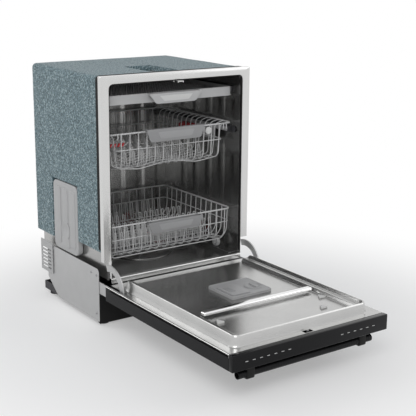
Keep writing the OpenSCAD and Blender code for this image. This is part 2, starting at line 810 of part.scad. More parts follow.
// Side rims on a shoulder of short wires that carries them out over the rails
module upper_rack_rims() {
    n = 8;
    color("lightgray") place() both_sides() {
        wire_y(rack_y0 + 8, rack_y1 - 8, rack_x, upper_rim_z, rim_wire);
        wire_y(rack_y0 + 16, rack_y1 - 16, upper_x, upper_rim_z, basket_wire);
        for (i = [0 : n])
            wire_x(upper_x - 2, rack_x, rack_y0 + 20 + i * (rack_l - 40) / n, upper_rim_z - 2, basket_wire);
    }
}

// Red levers that free the height stops
module height_levers() {
    color("crimson") place() both_sides()
        translate([upper_x + 4, tub_mid_y, rail_z]) rotate([90, 0, 90]) linear_extrude(4)
            polygon([[-16, -38], [-12, -44], [76, -14], [80, -4], [68, -6]]);
}

// Comb shelf for cups, hinged on a wire along the left wall
module cup_shelf() {
    x0 = -upper_x + 9;
    y0 = tub_mid_y - 144;
    y1 = tub_mid_y + 70;
    z = upper_floor_z + 76;
    pitch = 26;
    color("gainsboro") place() {
        for (x = [x0, x0 + 70]) wire_y(y0, y1, x, z, basket_wire);
        for (i = [0 : 8]) wire_x(x0, x0 + 84, y0 + 3 + i * pitch, z + 1, basket_wire - 0.5);
    }
}

// ---- cutlery tray ----

module cutlery_tray() {
    z0 = tray_top_z - tray_deep;
    wall = 3;
    gap = 8;
    pitch = 20;
    bar = 14;                             // solid cross bars between the rows of slots
    row_l = (rack_l - bar - 2) / 4;
    color("lightgray") place() {
        difference() {
            block(-tray_x, tray_x, rack_y0, rack_y1, z0, z0 + wall);
            for (x = [-tray_x + 16 : pitch : tray_x - 16]) for (k = [0 : 3])
                block(x, x + gap, rack_y0 + bar + k * row_l, rack_y0 + (k + 1) * row_l, z0 - 1, z0 + wall + 1);
        }
        both_sides() block(tray_x - wall, tray_x, rack_y0, rack_y1, z0 + wall + seat, tray_top_z);
        block(-tray_x + wall + seat, tray_x - wall - seat, rack_y0, rack_y0 + wall, z0 + wall + seat, tray_top_z);
        block(-tray_x + wall + seat, tray_x - wall - seat, rack_y1 - wall, rack_y1, z0 + wall + seat, tray_top_z);
        grip(tray_top_z, 216, 160, tray_deep + 3);
    }
}

tub_wrapper();
tub_back();
tub_floor();
front_frame();
tub_gasket();
insulation_blanket();
worktop_plate();
air_break();
base_tray();
base_sides();
toe_kick();
rear_grille();
foot_front_left();
foot_front_right();
feet_rear();
hinge_brackets();
balance_springs();
door_striker();
inlet_valve();
drain_pump();
junction_box();
sump();
circulation_pump();
counterweight();
fixed_rails();
filter_plate();
filter_cup();
salt_cap();
feed_pipe();
lower_spray_arm();
door_shell();
door_liner();
control_panel();
door_handle();
handle_brackets();
hinge_arms();
dispenser();
dispenser_lid();
rinse_cap();
baffle_rail();
latch_hook();
lower_rack_floor();
lower_rack_walls();
lower_rack_handle();
lower_tines();
lower_folding_tines();
lower_wheels_front();
lower_wheels_middle();
lower_wheels_rear();
middle_rails();
height_adjusters();
upper_rack_floor();
upper_rack_sides();
upper_rack_ends();
upper_rack_rims();
upper_rack_handle();
height_levers();
cup_shelf();
upper_feed_tube();
middle_spray_arm();
cutlery_tray();
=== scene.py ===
"""Looks of a built-in dishwasher, laid over its CAD frame. Lengths are in metres."""
import json
import math

import bmesh
import bpy
import numpy as np
from mathutils import Matrix, Vector


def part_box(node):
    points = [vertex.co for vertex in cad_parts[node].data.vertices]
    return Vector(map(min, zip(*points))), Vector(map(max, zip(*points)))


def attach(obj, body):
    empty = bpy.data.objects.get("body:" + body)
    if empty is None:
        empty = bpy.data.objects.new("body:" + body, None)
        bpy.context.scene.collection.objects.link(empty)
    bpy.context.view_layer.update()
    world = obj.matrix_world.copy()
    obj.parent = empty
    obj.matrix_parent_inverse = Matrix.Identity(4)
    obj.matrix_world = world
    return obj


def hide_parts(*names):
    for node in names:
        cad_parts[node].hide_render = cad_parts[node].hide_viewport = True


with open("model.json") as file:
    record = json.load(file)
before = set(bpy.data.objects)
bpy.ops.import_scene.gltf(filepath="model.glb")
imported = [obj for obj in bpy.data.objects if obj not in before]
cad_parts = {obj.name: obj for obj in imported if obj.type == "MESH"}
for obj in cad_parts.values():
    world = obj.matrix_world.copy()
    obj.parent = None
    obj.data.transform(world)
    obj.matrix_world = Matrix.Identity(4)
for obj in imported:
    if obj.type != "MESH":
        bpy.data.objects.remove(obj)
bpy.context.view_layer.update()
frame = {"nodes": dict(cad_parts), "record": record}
MM = 0.001
RAIL_LOW, RAIL_MIDDLE, RAIL_HIGH, TRAY_RAIL_LOW = 622 * MM, 634 * MM, 646 * MM, 768 * MM
PAN_TOP = 174 * MM


def box(node):
    """Lowest and highest corner of a CAD node, as two arrays."""
    lo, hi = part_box(node)
    return np.array(lo), np.array(hi)


# ---- camera ----

CAMERA_PLACE = (-1.7999, -2.6106, 1.2271)
CAMERA_YAW, CAMERA_PITCH, CAMERA_ROLL = 35.31, 14.41, 0.48
CAMERA_LENS = 84.1


def add_camera():
    """A camera turned CAMERA_YAW from the Y axis towards X and tipped down by CAMERA_PITCH."""
    camera = bpy.data.objects.new("camera", bpy.data.cameras.new("camera"))
    bpy.context.scene.collection.objects.link(camera)
    camera.location = CAMERA_PLACE
    turn = (Matrix.Rotation(math.radians(-CAMERA_YAW), 4, "Z")
            @ Matrix.Rotation(math.radians(90 - CAMERA_PITCH), 4, "X")
            @ Matrix.Rotation(math.radians(CAMERA_ROLL), 4, "Z"))
    camera.rotation_euler = turn.to_euler()
    camera.data.lens = CAMERA_LENS
    camera.data.sensor_width = 36
    bpy.context.scene.camera = camera


# ---- shader node groups ----

def new_group(name, inputs, outputs):
    """An empty shader node group with these sockets, given as (name, type)."""
    tree = bpy.data.node_groups.new(name, "ShaderNodeTree")
    for label, kind in inputs:
        tree.interface.new_socket(label, in_out="INPUT", socket_type=kind)
    for label, kind in outputs:
        tree.interface.new_socket(label, in_out="OUTPUT", socket_type=kind)
    return tree, tree.nodes.new("NodeGroupInput"), tree.nodes.new("NodeGroupOutput")


def noise(tree, vector, scale, detail=4.0):
    """A noise texture on a vector; scale is a number or a socket."""
    node = tree.nodes.new("ShaderNodeTexNoise")
    node.inputs["Detail"].default_value = detail
    tree.links.new(vector, node.inputs["Vector"])
    if isinstance(scale, (int, float)):
        node.inputs["Scale"].default_value = scale
    else:
        tree.links.new(scale, node.inputs["Scale"])
    return node.outputs["Fac"]


def sums(tree, operation, *values):
    """A Math node on numbers and sockets."""
    node = tree.nodes.new("ShaderNodeMath")
    node.operation = operation
    for socket, value in zip(node.inputs, values):
        if isinstance(value, (int, float)):
            socket.default_value = value
        else:
            tree.links.new(value, socket)
    return node.outputs[0]


def make_surface_group():
    """Grain and broad unevenness: a value round 0.5 for each, and a height."""
    tree, given, out = new_group(
        "surface_grain",
        [("Place", "NodeSocketVector"), ("Stretch", "NodeSocketVector"),
         ("Grain size", "NodeSocketFloat"), ("Patch size", "NodeSocketFloat")],
        [("Grain", "NodeSocketFloat"), ("Patches", "NodeSocketFloat"), ("Height", "NodeSocketFloat")])
    stretch = tree.nodes.new("ShaderNodeVectorMath")
    stretch.operation = "MULTIPLY"
    tree.links.new(given.outputs["Place"], stretch.inputs[0])
    tree.links.new(given.outputs["Stretch"], stretch.inputs[1])
    fine = noise(tree, stretch.outputs[0], sums(tree, "DIVIDE", 1.0, given.outputs["Grain size"]))
    broad = noise(tree, given.outputs["Place"], sums(tree, "DIVIDE", 1.0, given.outputs["Patch size"]), 2.0)
    tree.links.new(fine, out.inputs["Grain"])
    tree.links.new(broad, out.inputs["Patches"])
    tree.links.new(sums(tree, "ADD", fine, sums(tree, "MULTIPLY", broad, 0.3)), out.inputs["Height"])
    return tree


def make_shade_group():
    """Colour made lighter and darker: value times 1 + (mask - 0.5) x amount."""
    tree, given, out = new_group(
        "shaded_colour",
        [("Colour", "NodeSocketColor"), ("Mask", "NodeSocketFloat"), ("Amount", "NodeSocketFloat")],
        [("Colour", "NodeSocketColor")])
    shade = tree.nodes.new("ShaderNodeHueSaturation")
    swing = sums(tree, "MULTIPLY", sums(tree, "SUBTRACT", given.outputs["Mask"], 0.5),
                 given.outputs["Amount"])
    tree.links.new(sums(tree, "ADD", swing, 1.0), shade.inputs["Value"])
    tree.links.new(given.outputs["Colour"], shade.inputs["Color"])
    tree.links.new(shade.outputs["Color"], out.inputs["Colour"])
    return tree


def make_fleck_group():
    """Pressed recycled fibre: pale and dark flecks over the ground colour, and the height of the nap."""
    tree, given, out = new_group(
        "felt_flecks",
        [("Place", "NodeSocketVector"), ("Ground", "NodeSocketColor"), ("Pale", "NodeSocketColor"),
         ("Dark", "NodeSocketColor")],
        [("Colour", "NodeSocketColor"), ("Height", "NodeSocketFloat")])
    colour = given.outputs["Ground"]
    for tint, size, level in (("Dark", 150.0, 0.53), ("Pale", 190.0, 0.54)):
        warp = tree.nodes.new("ShaderNodeVectorMath")
        warp.operation = "ADD"
        warp.inputs[1].default_value = (size, 0.0, size)
        tree.links.new(given.outputs["Place"], warp.inputs[0])
        mask = tree.nodes.new("ShaderNodeMapRange")
        mask.inputs["From Min"].default_value = level
        mask.inputs["From Max"].default_value = level + 0.04
        tree.links.new(noise(tree, warp.outputs[0], size, 5.0), mask.inputs["Value"])
        mix = tree.nodes.new("ShaderNodeMix")
        mix.data_type = "RGBA"
        tree.links.new(mask.outputs["Result"], mix.inputs["Factor"])
        tree.links.new(colour, mix.inputs["A"])
        tree.links.new(given.outputs[tint], mix.inputs["B"])
        colour = mix.outputs["Result"]
    tree.links.new(colour, out.inputs["Colour"])
    tree.links.new(noise(tree, given.outputs["Place"], 420.0, 6.0), out.inputs["Height"])
    return tree


SURFACE, SHADE, FLECKS = make_surface_group(), make_shade_group(), make_fleck_group()
FINISHES = {}


def place_group(tree, group, **values):
    """Puts a node group in a material; a value is a socket to link or a plain value."""
    node = tree.nodes.new("ShaderNodeGroup")
    node.node_tree = group
    for label, value in values.items():
        socket = node.inputs[label.replace("_", " ")]
        if isinstance(value, bpy.types.NodeSocket):
            tree.links.new(value, socket)
        else:
            socket.default_value = value
    return node


def new_material(name):
    """A material with its Principled shader and Object coordinates."""
    material = bpy.data.materials.new(name)
    material.use_nodes = True
    tree = material.node_tree
    where = tree.nodes.new("ShaderNodeTexCoord").outputs["Object"]
    return material, tree, tree.nodes["Principled BSDF"], where


def bump(tree, shader, height, strength, distance):
    """A height that tips the shader's normal."""
    node = tree.nodes.new("ShaderNodeBump")
    node.inputs["Strength"].default_value = strength
    node.inputs["Distance"].default_value = distance
    tree.links.new(height, node.inputs["Height"])
    tree.links.new(node.outputs["Normal"], shader.inputs["Normal"])


def finish_of(name, colour, rough, metal=0.0, coat=0.0, grain=0.0012, stretch=(1, 1, 1), patch=0.12,
              shade=0.10, rough_swing=0.12, depth=0.00006, strength=0.4, gloss=0.5):
    """A painted, moulded or rolled surface whose colour, roughness and height vary over it."""
    material, tree, shader, where = new_material(name)
    surface = place_group(tree, SURFACE, Place=where, Stretch=stretch, Grain_size=grain, Patch_size=patch)
    shaded = place_group(tree, SHADE, Colour=(*colour, 1), Mask=surface.outputs["Patches"], Amount=shade)
    tree.links.new(shaded.outputs["Colour"], shader.inputs["Base Color"])
    swing = sums(tree, "MULTIPLY_ADD", surface.outputs["Grain"], rough_swing, rough - rough_swing / 2)
    tree.links.new(swing, shader.inputs["Roughness"])
    shader.inputs["Metallic"].default_value = metal
    shader.inputs["Coat Weight"].default_value = coat
    shader.inputs["Specular IOR Level"].default_value = gloss
    bump(tree, shader, surface.outputs["Height"], strength, depth)
    FINISHES[name] = material


def felt():
    """Blue-grey felt with pale and dark fibres and a soft nap."""
    material, tree, shader, where = new_material("felt")
    flecks = place_group(tree, FLECKS, Place=where, Ground=(0.125, 0.20, 0.225, 1),
                         Pale=(0.36, 0.46, 0.49, 1), Dark=(0.05, 0.09, 0.10, 1))
    tree.links.new(flecks.outputs["Colour"], shader.inputs["Base Color"])
    shader.inputs["Roughness"].default_value = 0.95
    shader.inputs["Sheen Weight"].default_value = 0.25
    bump(tree, shader, flecks.outputs["Height"], 0.9, 0.0012)
    FINISHES["felt"] = material


ALONG_X, ALONG_Z = (0.02, 1, 1), (1, 1, 0.02)
finish_of("tub_steel", (0.40, 0.40, 0.395), 0.24, 1.0, stretch=ALONG_Z, shade=0.3, rough_swing=0.16)
finish_of("frame_steel", (0.62, 0.62, 0.615), 0.2, 1.0, stretch=ALONG_Z, shade=0.06)
finish_of("liner_steel", (0.50, 0.50, 0.495), 0.25, 1.0, stretch=ALONG_X, shade=0.2)
finish_of("polished_steel", (0.82, 0.82, 0.82), 0.14, 1.0, stretch=ALONG_X)
finish_of("galvanised", (0.50, 0.50, 0.50), 0.42, 0.5, grain=0.004, patch=0.05, shade=0.12)
finish_of("coated_steel", (0.19, 0.19, 0.194), 0.5)
finish_of("door_black", (0.008, 0.008, 0.009), 0.4, grain=0.0008, gloss=0.16)
finish_of("gloss_black", (0.003, 0.003, 0.004), 0.12, rough_swing=0.04, depth=0.00002, gloss=0.2)
finish_of("rail_steel", (0.06, 0.06, 0.065), 0.36, 0.4, stretch=(1, 0.03, 1))
finish_of("spring_steel", (0.35, 0.35, 0.36), 0.35, 0.8)
finish_of("ballast", (0.12, 0.12, 0.12), 0.85, grain=0.004, depth=0.0006)
finish_of("motor_casing", (0.459, 0.459, 0.463), 0.45, 0.7, grain=0.002)
felt()
finish_of("rubber_black", (0.012, 0.012, 0.012), 0.7, grain=0.0008, gloss=0.2)
finish_of("plastic_light", (0.49, 0.49, 0.49), 0.46, grain=0.0009)
finish_of("plastic_white", (0.64, 0.64, 0.63), 0.42, grain=0.0009)
finish_of("plastic_grey", (0.36, 0.36, 0.365), 0.45, grain=0.0009)
finish_of("plastic_dark", (0.045, 0.045, 0.05), 0.5, grain=0.0009, gloss=0.3)
finish_of("plastic_black", (0.01, 0.01, 0.01), 0.5, grain=0.0009, gloss=0.2)
finish_of("plastic_red", (0.52, 0.03, 0.035), 0.36)
finish_of("plastic_dispenser", (0.392, 0.392, 0.396), 0.42, grain=0.0009)
finish_of("plastic_handle", (0.302, 0.302, 0.306), 0.40, grain=0.0009)
finish_of("coated_wire", (0.60, 0.60, 0.60), 0.32, coat=0.1, grain=0.002)


# ---- surfaces ----

def joined(*shapes):
    """One shape out of several. A shape is its points and a list of face arrays."""
    points, faces, count = [], [], 0
    for place, rows in shapes:
        points.append(place)
        faces += [row + count for row in rows]
        count += len(place)
    return np.concatenate(points), faces


def grid_faces(rows, columns, wrap_rows=False, wrap_columns=False):
    """Four-sided faces between the points of a grid numbered row by row."""
    index = np.arange(rows * columns).reshape(rows, columns)
    if wrap_rows:
        index = np.vstack([index, index[:1]])
    if wrap_columns:
        index = np.hstack([index, index[:, :1]])
    return np.stack([index[:-1, :-1], index[1:, :-1], index[1:, 1:], index[:-1, 1:]], -1).reshape(-1, 4)


def rounded(points, radius, closed=False, steps=4):
    """A path with its corners cut to arcs: the curve (1-t)^2 a + 2t(1-t) corner + t^2 b at each corner."""
    points = np.array(points, float)
    before, after = np.roll(points, 1, 0), np.roll(points, -1, 0)
    back, ahead = before - points, after - points
    reach_a = np.minimum(radius, np.linalg.norm(back, axis=1) / 2.1)[:, None]
    reach_b = np.minimum(radius, np.linalg.norm(ahead, axis=1) / 2.1)[:, None]
    a = points + back / np.linalg.norm(back, axis=1)[:, None] * reach_a
    b = points + ahead / np.linalg.norm(ahead, axis=1)[:, None] * reach_b
    t = np.linspace(0, 1, steps + 1)[None, :, None]
    arcs = (1 - t) ** 2 * a[:, None] + 2 * t * (1 - t) * points[:, None] + t ** 2 * b[:, None]
    if closed:
        return arcs.reshape(-1, points.shape[1])
    inner = arcs[1:-1].reshape(-1, points.shape[1])
    return np.vstack([points[:1], inner, points[-1:]])


def tube(path, radius, across, sides=8, closed=False):
    """A round wire: a circle of the radius carried along a flat path, whose plane has the normal across."""
    path, across = np.array(path, float), np.array(across, float)
    if closed:
        along = np.roll(path, -1, 0) - np.roll(path, 1, 0)
    else:
        along = np.gradient(path, axis=0)
    along /= np.linalg.norm(along, axis=1)[:, None]
    side = np.cross(along, across)
    side /= np.linalg.norm(side, axis=1)[:, None]
    angle = np.linspace(0, 2 * np.pi, sides, endpoint=False)
    ring = np.cos(angle)[None, :, None] * side[:, None] + np.sin(angle)[None, :, None] * across
    points = (path[:, None] + radius * ring).reshape(-1, 3)
    faces = [grid_faces(len(path), sides, closed, True)]
    if not closed:
        faces += [np.arange(sides)[None, ::-1], np.arange(sides)[None] + (len(path) - 1) * sides]
    return points, faces


def turned(profile, centre, axis="z", sides=32):
    """A turned shape: the profile of (radius, height) points carried round an axis through centre."""
    profile = np.array(profile, float)
    angle = np.linspace(0, 2 * np.pi, sides, endpoint=False)
    radius, height = profile[:, :1], profile[:, 1:]
    a, b, c = radius * np.cos(angle), radius * np.sin(angle), height + 0 * angle
    order = {"z": (a, b, c), "x": (c, a, b), "y": (b, c, a)}[axis]
    points = np.stack(order, -1).reshape(-1, 3) + np.array(centre)
    last = (len(profile) - 1) * sides
    return points, [grid_faces(len(profile), sides, False, True),
                    np.arange(sides)[None, ::-1], np.arange(sides)[None] + last]


def swung_in(outline, inset):
    """A closed outline moved inwards by inset, along the mitre of the two edges at each corner."""
    ahead = np.roll(outline, -1, 0) - outline
    ahead /= np.linalg.norm(ahead, axis=1)[:, None]
    normal = np.stack([ahead[:, 1], -ahead[:, 0]], 1)
    mitre = normal + np.roll(normal, 1, 0)
    mitre /= np.maximum((mitre * normal).sum(1), 0.3)[:, None]
    area = np.sum(outline[:, 0] * np.roll(outline[:, 1], -1) - np.roll(outline[:, 0], -1) * outline[:, 1])
    return outline - np.sign(area) * inset * mitre


def plate(outline, start, end, axis="y", edge=1.0 * MM):
    """A moulded plate: an outline drawn across an axis, carried from start to end, its edges rounded."""
    outline = np.array(outline, float)
    turn = np.linspace(0, np.pi / 2, 4)
    insets = np.concatenate([edge * (1 - np.sin(turn)), edge * (1 - np.sin(turn[::-1]))])
    low = start + edge * (1 - np.cos(turn))
    heights = np.concatenate([low, end - (low[::-1] - start)])
    rings = np.stack([swung_in(outline, i) for i in insets])
    a, b, h = rings[..., 0], rings[..., 1], np.broadcast_to(heights[:, None], rings.shape[:2])
    order = {"y": (a, h, b), "z": (a, b, h), "x": (h, a, b)}[axis]
    points = np.stack(order, -1).reshape(-1, 3)
    count = len(outline)
    return points, [grid_faces(len(rings), count, False, True),
                    np.arange(count)[None, ::-1], np.arange(count)[None] + (len(rings) - 1) * count]


def slab(face, back, keep=None):
    """A sheet with thickness: two grids of points, face and back, walled round the cells that are kept."""
    rows, columns = face.shape[:2]
    keep = np.ones((rows - 1, columns - 1), bool) if keep is None else keep
    index = np.arange(rows * columns).reshape(rows, columns)
    deep = index + rows * columns
    quads = grid_faces(rows, columns).reshape(rows - 1, columns - 1, 4)[keep]
    faces = [quads, quads[:, ::-1] + rows * columns]
    padded = np.pad(keep, 1)
    for lines, edge_a, edge_b in (
            (padded[:-1, 1:-1] != padded[1:, 1:-1], (slice(None), slice(0, -1)),
             (slice(None), slice(1, None))),
            (padded[1:-1, :-1] != padded[1:-1, 1:], (slice(0, -1), slice(None)),
             (slice(1, None), slice(None)))):
        a, b = index[edge_a][lines], index[edge_b][lines]
        c, d = deep[edge_b][lines], deep[edge_a][lines]
        faces.append(np.stack([a, b, c, d], 1))
    points = np.concatenate([face.reshape(-1, 3), back.reshape(-1, 3)])
    used = np.unique(np.concatenate([f.ravel() for f in faces]))
    renumber = np.zeros(len(points), int)
    renumber[used] = np.arange(len(used))
    return points[used], [renumber[f] for f in faces]


def scattered(shape, places):
    """Copies of one small shape at many places."""
    points, rows = shape
    places = np.array(places, float)
    all_points = (points[None] + places[:, None]).reshape(-1, 3)
    step = np.arange(len(places)) * len(points)
    return all_points, [(row[None] + step[:, None, None]).reshape(-1, row.shape[1]) for row in rows]


def stations(*spans):
    """Increasing values that fill each (start, end, step) span, with the ends of the spans among them."""
    return np.unique(np.concatenate([
        np.linspace(a, b, max(2, int(math.ceil(abs(b - a) / step)) + 1)) for a, b, step in spans]).round(6))


def eased(value, low, high):
    """0 below low, 1 above high, and 3t^2 - 2t^3 between."""
    t = np.clip((value - low) / (high - low), 0, 1)
    return t * t * (3 - 2 * t)


def inside_round_box(x, y, centre, half, radius):
    """How far (x, y) is inside a box with rounded corners; negative outside."""
    a = np.abs(x - centre[0]) - half[0] + radius
    b = np.abs(y - centre[1]) - half[1] + radius
    return radius - np.hypot(np.maximum(a, 0), np.maximum(b, 0)) - np.minimum(np.maximum(a, b), 0)


def piece(name, shape, slot, body, stands_for=(), smooth=38):
    """A finished object out of a shape: faces outwards, its material from the slot, riding on a body."""
    points, rows = shape
    mesh = bpy.data.meshes.new(name)
    mesh.from_pydata(points.tolist(), [], [face for row in rows for face in row.tolist()])
    work = bmesh.new()
    work.from_mesh(mesh)
    bmesh.ops.recalc_face_normals(work, faces=work.faces)
    work.to_mesh(mesh)
    work.free()
    mesh.shade_smooth()
    mesh.set_sharp_from_angle(angle=math.radians(smooth))
    mesh.materials.append(FINISHES[slot])
    obj = bpy.data.objects.new(name, mesh)
    bpy.context.scene.collection.objects.link(obj)
    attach(obj, body)
    if stands_for:
        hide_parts(*stands_for)
    return obj


def box_outline(x0, x1, z0, z1, radius):
    """A rectangle with rounded corners."""
    return rounded([(x0, z0), (x1, z0), (x1, z1), (x0, z1)], radius, closed=True)


# ---- cabinet ----

def add_blanket():
    """Felt wrapped round the tub: left wall, top and right wall in one strip with rounded shoulders.
    The strip's path s runs up, over and down. It is carried along y, and left out over the air break
    and the worktop plate."""
    lo, hi = box("insulation_blanket")
    air_lo, air_hi = box("air_break")
    plate_lo, plate_hi = box("worktop_plate")
    thick, bend = 22 * MM, 16 * MM
    cut_z, notch_z = air_hi[2] + 5 * MM, lo[2] + 26 * MM
    cut_y0, cut_y1 = air_lo[1] - 6 * MM, air_hi[1] + 6 * MM
    gap_x0, gap_x1, gap_y = plate_lo[0] - 2 * MM, plate_hi[0] + 2 * MM, plate_hi[1] + 2 * MM
    z = stations((lo[2], notch_z, 0.02), (notch_z, cut_z, 0.02), (cut_z, hi[2] - bend, 0.02))
    x = stations((lo[0] + bend, gap_x0, 0.03), (gap_x0, gap_x1, 0.03), (gap_x1, hi[0] - bend, 0.03))
    arc = np.linspace(0, np.pi / 2, 7)[1:-1]
    shoulder = np.stack([lo[0] + bend * (1 - np.cos(arc)), hi[2] - bend * (1 - np.sin(arc))], 1)
    tight = bend - thick + 8 * MM
    corner = np.stack([lo[0] + thick + tight * (1 - np.cos(arc)),
                       hi[2] - thick - tight * (1 - np.sin(arc))], 1)
    left = np.stack([np.full(len(z), lo[0]), z], 1)
    over = np.stack([x, np.full(len(x), hi[2])], 1)
    outer = np.vstack([left, shoulder, over, shoulder[::-1] * [-1, 1], left[::-1] * [-1, 1]])
    inner_left = np.stack([np.full(len(z), lo[0] + thick), z], 1)
    inner_over = np.stack([x, np.full(len(x), hi[2] - thick)], 1)
    inner = np.vstack([inner_left, corner, inner_over, corner[::-1] * [-1, 1], inner_left[::-1] * [-1, 1]])
    y = stations((lo[1], cut_y0, 0.02), (cut_y0, gap_y, 0.02), (gap_y, cut_y1, 0.02), (cut_y1, hi[1], 0.02))
    swell = 0.9 * MM * (1 + np.sin(31 * y)[None] * np.sin(np.arange(len(outer)) * 0.9)[:, None]) / 2
    centre = np.array([0, (lo[2] + hi[2]) / 2])
    pull = (centre - outer) / np.linalg.norm(outer - centre, axis=1)[:, None]
    face = np.stack([outer[:, :1] + swell * pull[:, :1], y + 0 * swell, outer[:, 1:] + swell * pull[:, 1:]],
                    -1)
    back = np.stack([inner[:, :1] + 0 * swell, y + 0 * swell, inner[:, 1:] + 0 * swell], -1)
    middle = (outer[1:] + outer[:-1]) / 2
    y_mid = (y[1:] + y[:-1]) / 2
    on_left = (middle[:, 0] < lo[0] + MM)[:, None]
    on_top = (middle[:, 1] > hi[2] - MM)[:, None]
    mx, mz = middle[:, :1], middle[:, 1:]
    opening = on_left & (mz < cut_z) & (y_mid > cut_y0) & (y_mid < cut_y1)
    notch = on_left & (mz < notch_z) & (y_mid < cut_y0)
    hatch = on_top & (mx > gap_x0) & (mx < gap_x1) & (y_mid < gap_y)
    felt_wrap = piece("felt_wrap", slab(face, back, ~(opening | notch | hatch)), "felt", "cabinet",
                      ["insulation_blanket"])
    # Black band along the felt's front edge: partly the real black foam edging, partly painted shade standing
    # in for the frame's dark side face between felt and frame.
    edge = np.array([(lo[0], notch_z + 0.01), (lo[0], hi[2]), (hi[0], hi[2]), (hi[0], lo[2])])
    line = rounded(edge, bend, steps=6)
    width = 24 * MM
    grow = (line - centre) / np.linalg.norm(line - centre, axis=1)[:, None]
    strips = []
    for offset in (2.4 * MM, -1.2 * MM):
        ring = line + grow * offset
        strips.append(np.stack([np.stack([ring[:, 0], np.full(len(ring), lo[1] - 5 * MM + v), ring[:, 1]], 1)
                                for v in (0, width)], 1))
    piece("felt_edging_and_painted_shade", slab(strips[0], strips[1]), "rubber_black", "cabinet")


def add_front_frame():
    """Polished channel round the mouth: an inner line with rounded corners and an outer line,
    joined across the face by stations v that fold back along y at both edges."""
    lo, hi = box("front_frame")
    post, beam, depth, fold = 30 * MM, 26 * MM, hi[1] - lo[1], 2.2 * MM
    foot = box("insulation_blanket")[0][2] - 2 * MM
    corner = 20 * MM
    inner = rounded([(lo[0] + post, foot), (lo[0] + post, hi[2] - beam), (hi[0] - post, hi[2] - beam),
                     (hi[0] - post, foot)], corner, steps=8)
    outer = rounded([(lo[0], foot), (lo[0], hi[2]), (hi[0], hi[2]), (hi[0], foot)], 2 * MM, steps=8)
    turn = np.linspace(0, np.pi / 2, 4)
    stations_v = [(0.0, depth)] + [(fold * (1 - np.cos(t)), fold * (1 - np.sin(t))) for t in turn]
    length = np.linalg.norm(outer - inner, axis=1)[:, None]
    across = (outer - inner) / length
    lines = [(inner + across * a, b) for a, b in stations_v]
    lines += [(outer - across * a, b) for a, b in stations_v[::-1]]
    face = np.stack([np.stack([p[:, 0], np.full(len(p), lo[1] + b), p[:, 1]], 1) for p, b in lines], 1)
    back = face.copy()
    back[:, :, 1] += 1.2 * MM
    back[:, 0, 0::2] += across * 1.2 * MM
    back[:, -1, 0::2] -= across * 1.2 * MM
    back[:, [0, -1], 1] -= 1.2 * MM
    sill_x = hi[0] - post + 1.2 * MM
    sill_lo, sill_top = lo[2], box("base_sides")[1][2] - 22 * MM
    profile = rounded([(0, sill_lo), (0, sill_top), (depth, sill_top)], 5 * MM, steps=5)
    x = np.array([-sill_x, -sill_x * 0.98, sill_x * 0.98, sill_x])
    lip = np.array([12, 0, 0, 12]) * MM
    sill = np.stack([np.broadcast_to(x[:, None], (4, len(profile))),
                     lo[1] + np.broadcast_to(profile[:, 0], (4, len(profile))),
                     np.maximum(profile[:, 1][None], sill_lo + lip[:, None])], -1)
    under = sill + np.array([0, 1.2, -1.2]) * MM
    posts = [plate(box_outline(x0, x0 + 1.2 * MM, sill_top, foot + 4 * MM, 0.3 * MM), lo[1], hi[1], "y",
                   0.2 * MM)
             for x0 in (lo[0] + post - 1.2 * MM, hi[0] - post)]
    piece("mouth_frame", joined(slab(face, back), slab(sill, under), *posts), "frame_steel", "cabinet",
          ["front_frame"])


def pressed_wall(corner, along, up, out, length, height, panels, rise):
    """A tub wall with raised panels: out times rise, eased over 9 mm inside each rounded panel."""
    u = stations((0, length, 6 * MM))
    v = stations((0, height, 8 * MM))
    uu, vv = np.meshgrid(u, v, indexing="ij")
    lift = np.zeros_like(uu)
    for u0, u1, v0, v1 in panels:
        depth = inside_round_box(uu, vv, ((u0 + u1) / 2, (v0 + v1) / 2), ((u1 - u0) / 2, (v1 - v0) / 2),
                                 18 * MM)
        lift = np.maximum(lift, rise * eased(depth, 0, 9 * MM))
    base = np.array(corner) + uu[..., None] * np.array(along) + vv[..., None] * np.array(up)
    face = base + lift[..., None] * np.array(out)
    return slab(face, base - 0.8 * MM * np.array(out))


def add_tub():
    """Side walls, top and back of the tub with pressed stiffening panels."""
    lo, hi = box("tub_wrapper")
    wall = 1.0 * MM
    length, height = hi[1] - lo[1], hi[2] - lo[2] - 2 * MM
    rail_low, rail_high = RAIL_LOW - lo[2], RAIL_HIGH - lo[2]
    tray_low = TRAY_RAIL_LOW - lo[2]
    panels = [(u, u + 62 * MM, v0, v1) for u in np.arange(30, 440, 82) * MM
              for v0, v1 in ((60 * MM, rail_low - 12 * MM), (rail_high + 12 * MM, tray_low - 12 * MM))]
    sides = [pressed_wall((s * (hi[0] - wall), lo[1], lo[2]), (0, 1, 0), (0, 0, 1), (-s, 0, 0),
                          length, height, panels, 2.6 * MM) for s in (-1, 1)]
    wide = hi[0] - lo[0] - 2 * MM
    top = pressed_wall((lo[0] + wall, lo[1], hi[2] - wall), (1, 0, 0), (0, 1, 0), (0, 0, -1), wide, length,
                       [(60 * MM, wide - 60 * MM, 60 * MM, length - 60 * MM)], 3 * MM)
    piece("tub_walls", joined(*sides, top), "tub_steel", "cabinet", ["tub_wrapper"])
    back_lo, back_hi = box("tub_back")
    tall = back_hi[2] - back_lo[2]
    ribs = [(u, u + 70 * MM, 70 * MM, tall - 60 * MM) for u in (40 * MM, 130 * MM, 340 * MM, 430 * MM)]
    piece("tub_rear", pressed_wall((back_lo[0], back_hi[1] - wall, back_lo[2]), (1, 0, 0), (0, 0, 1),
                                   (0, -1, 0),
                                   back_hi[0] - back_lo[0], tall, ribs, 3 * MM),
          "tub_steel", "cabinet", ["tub_back"])


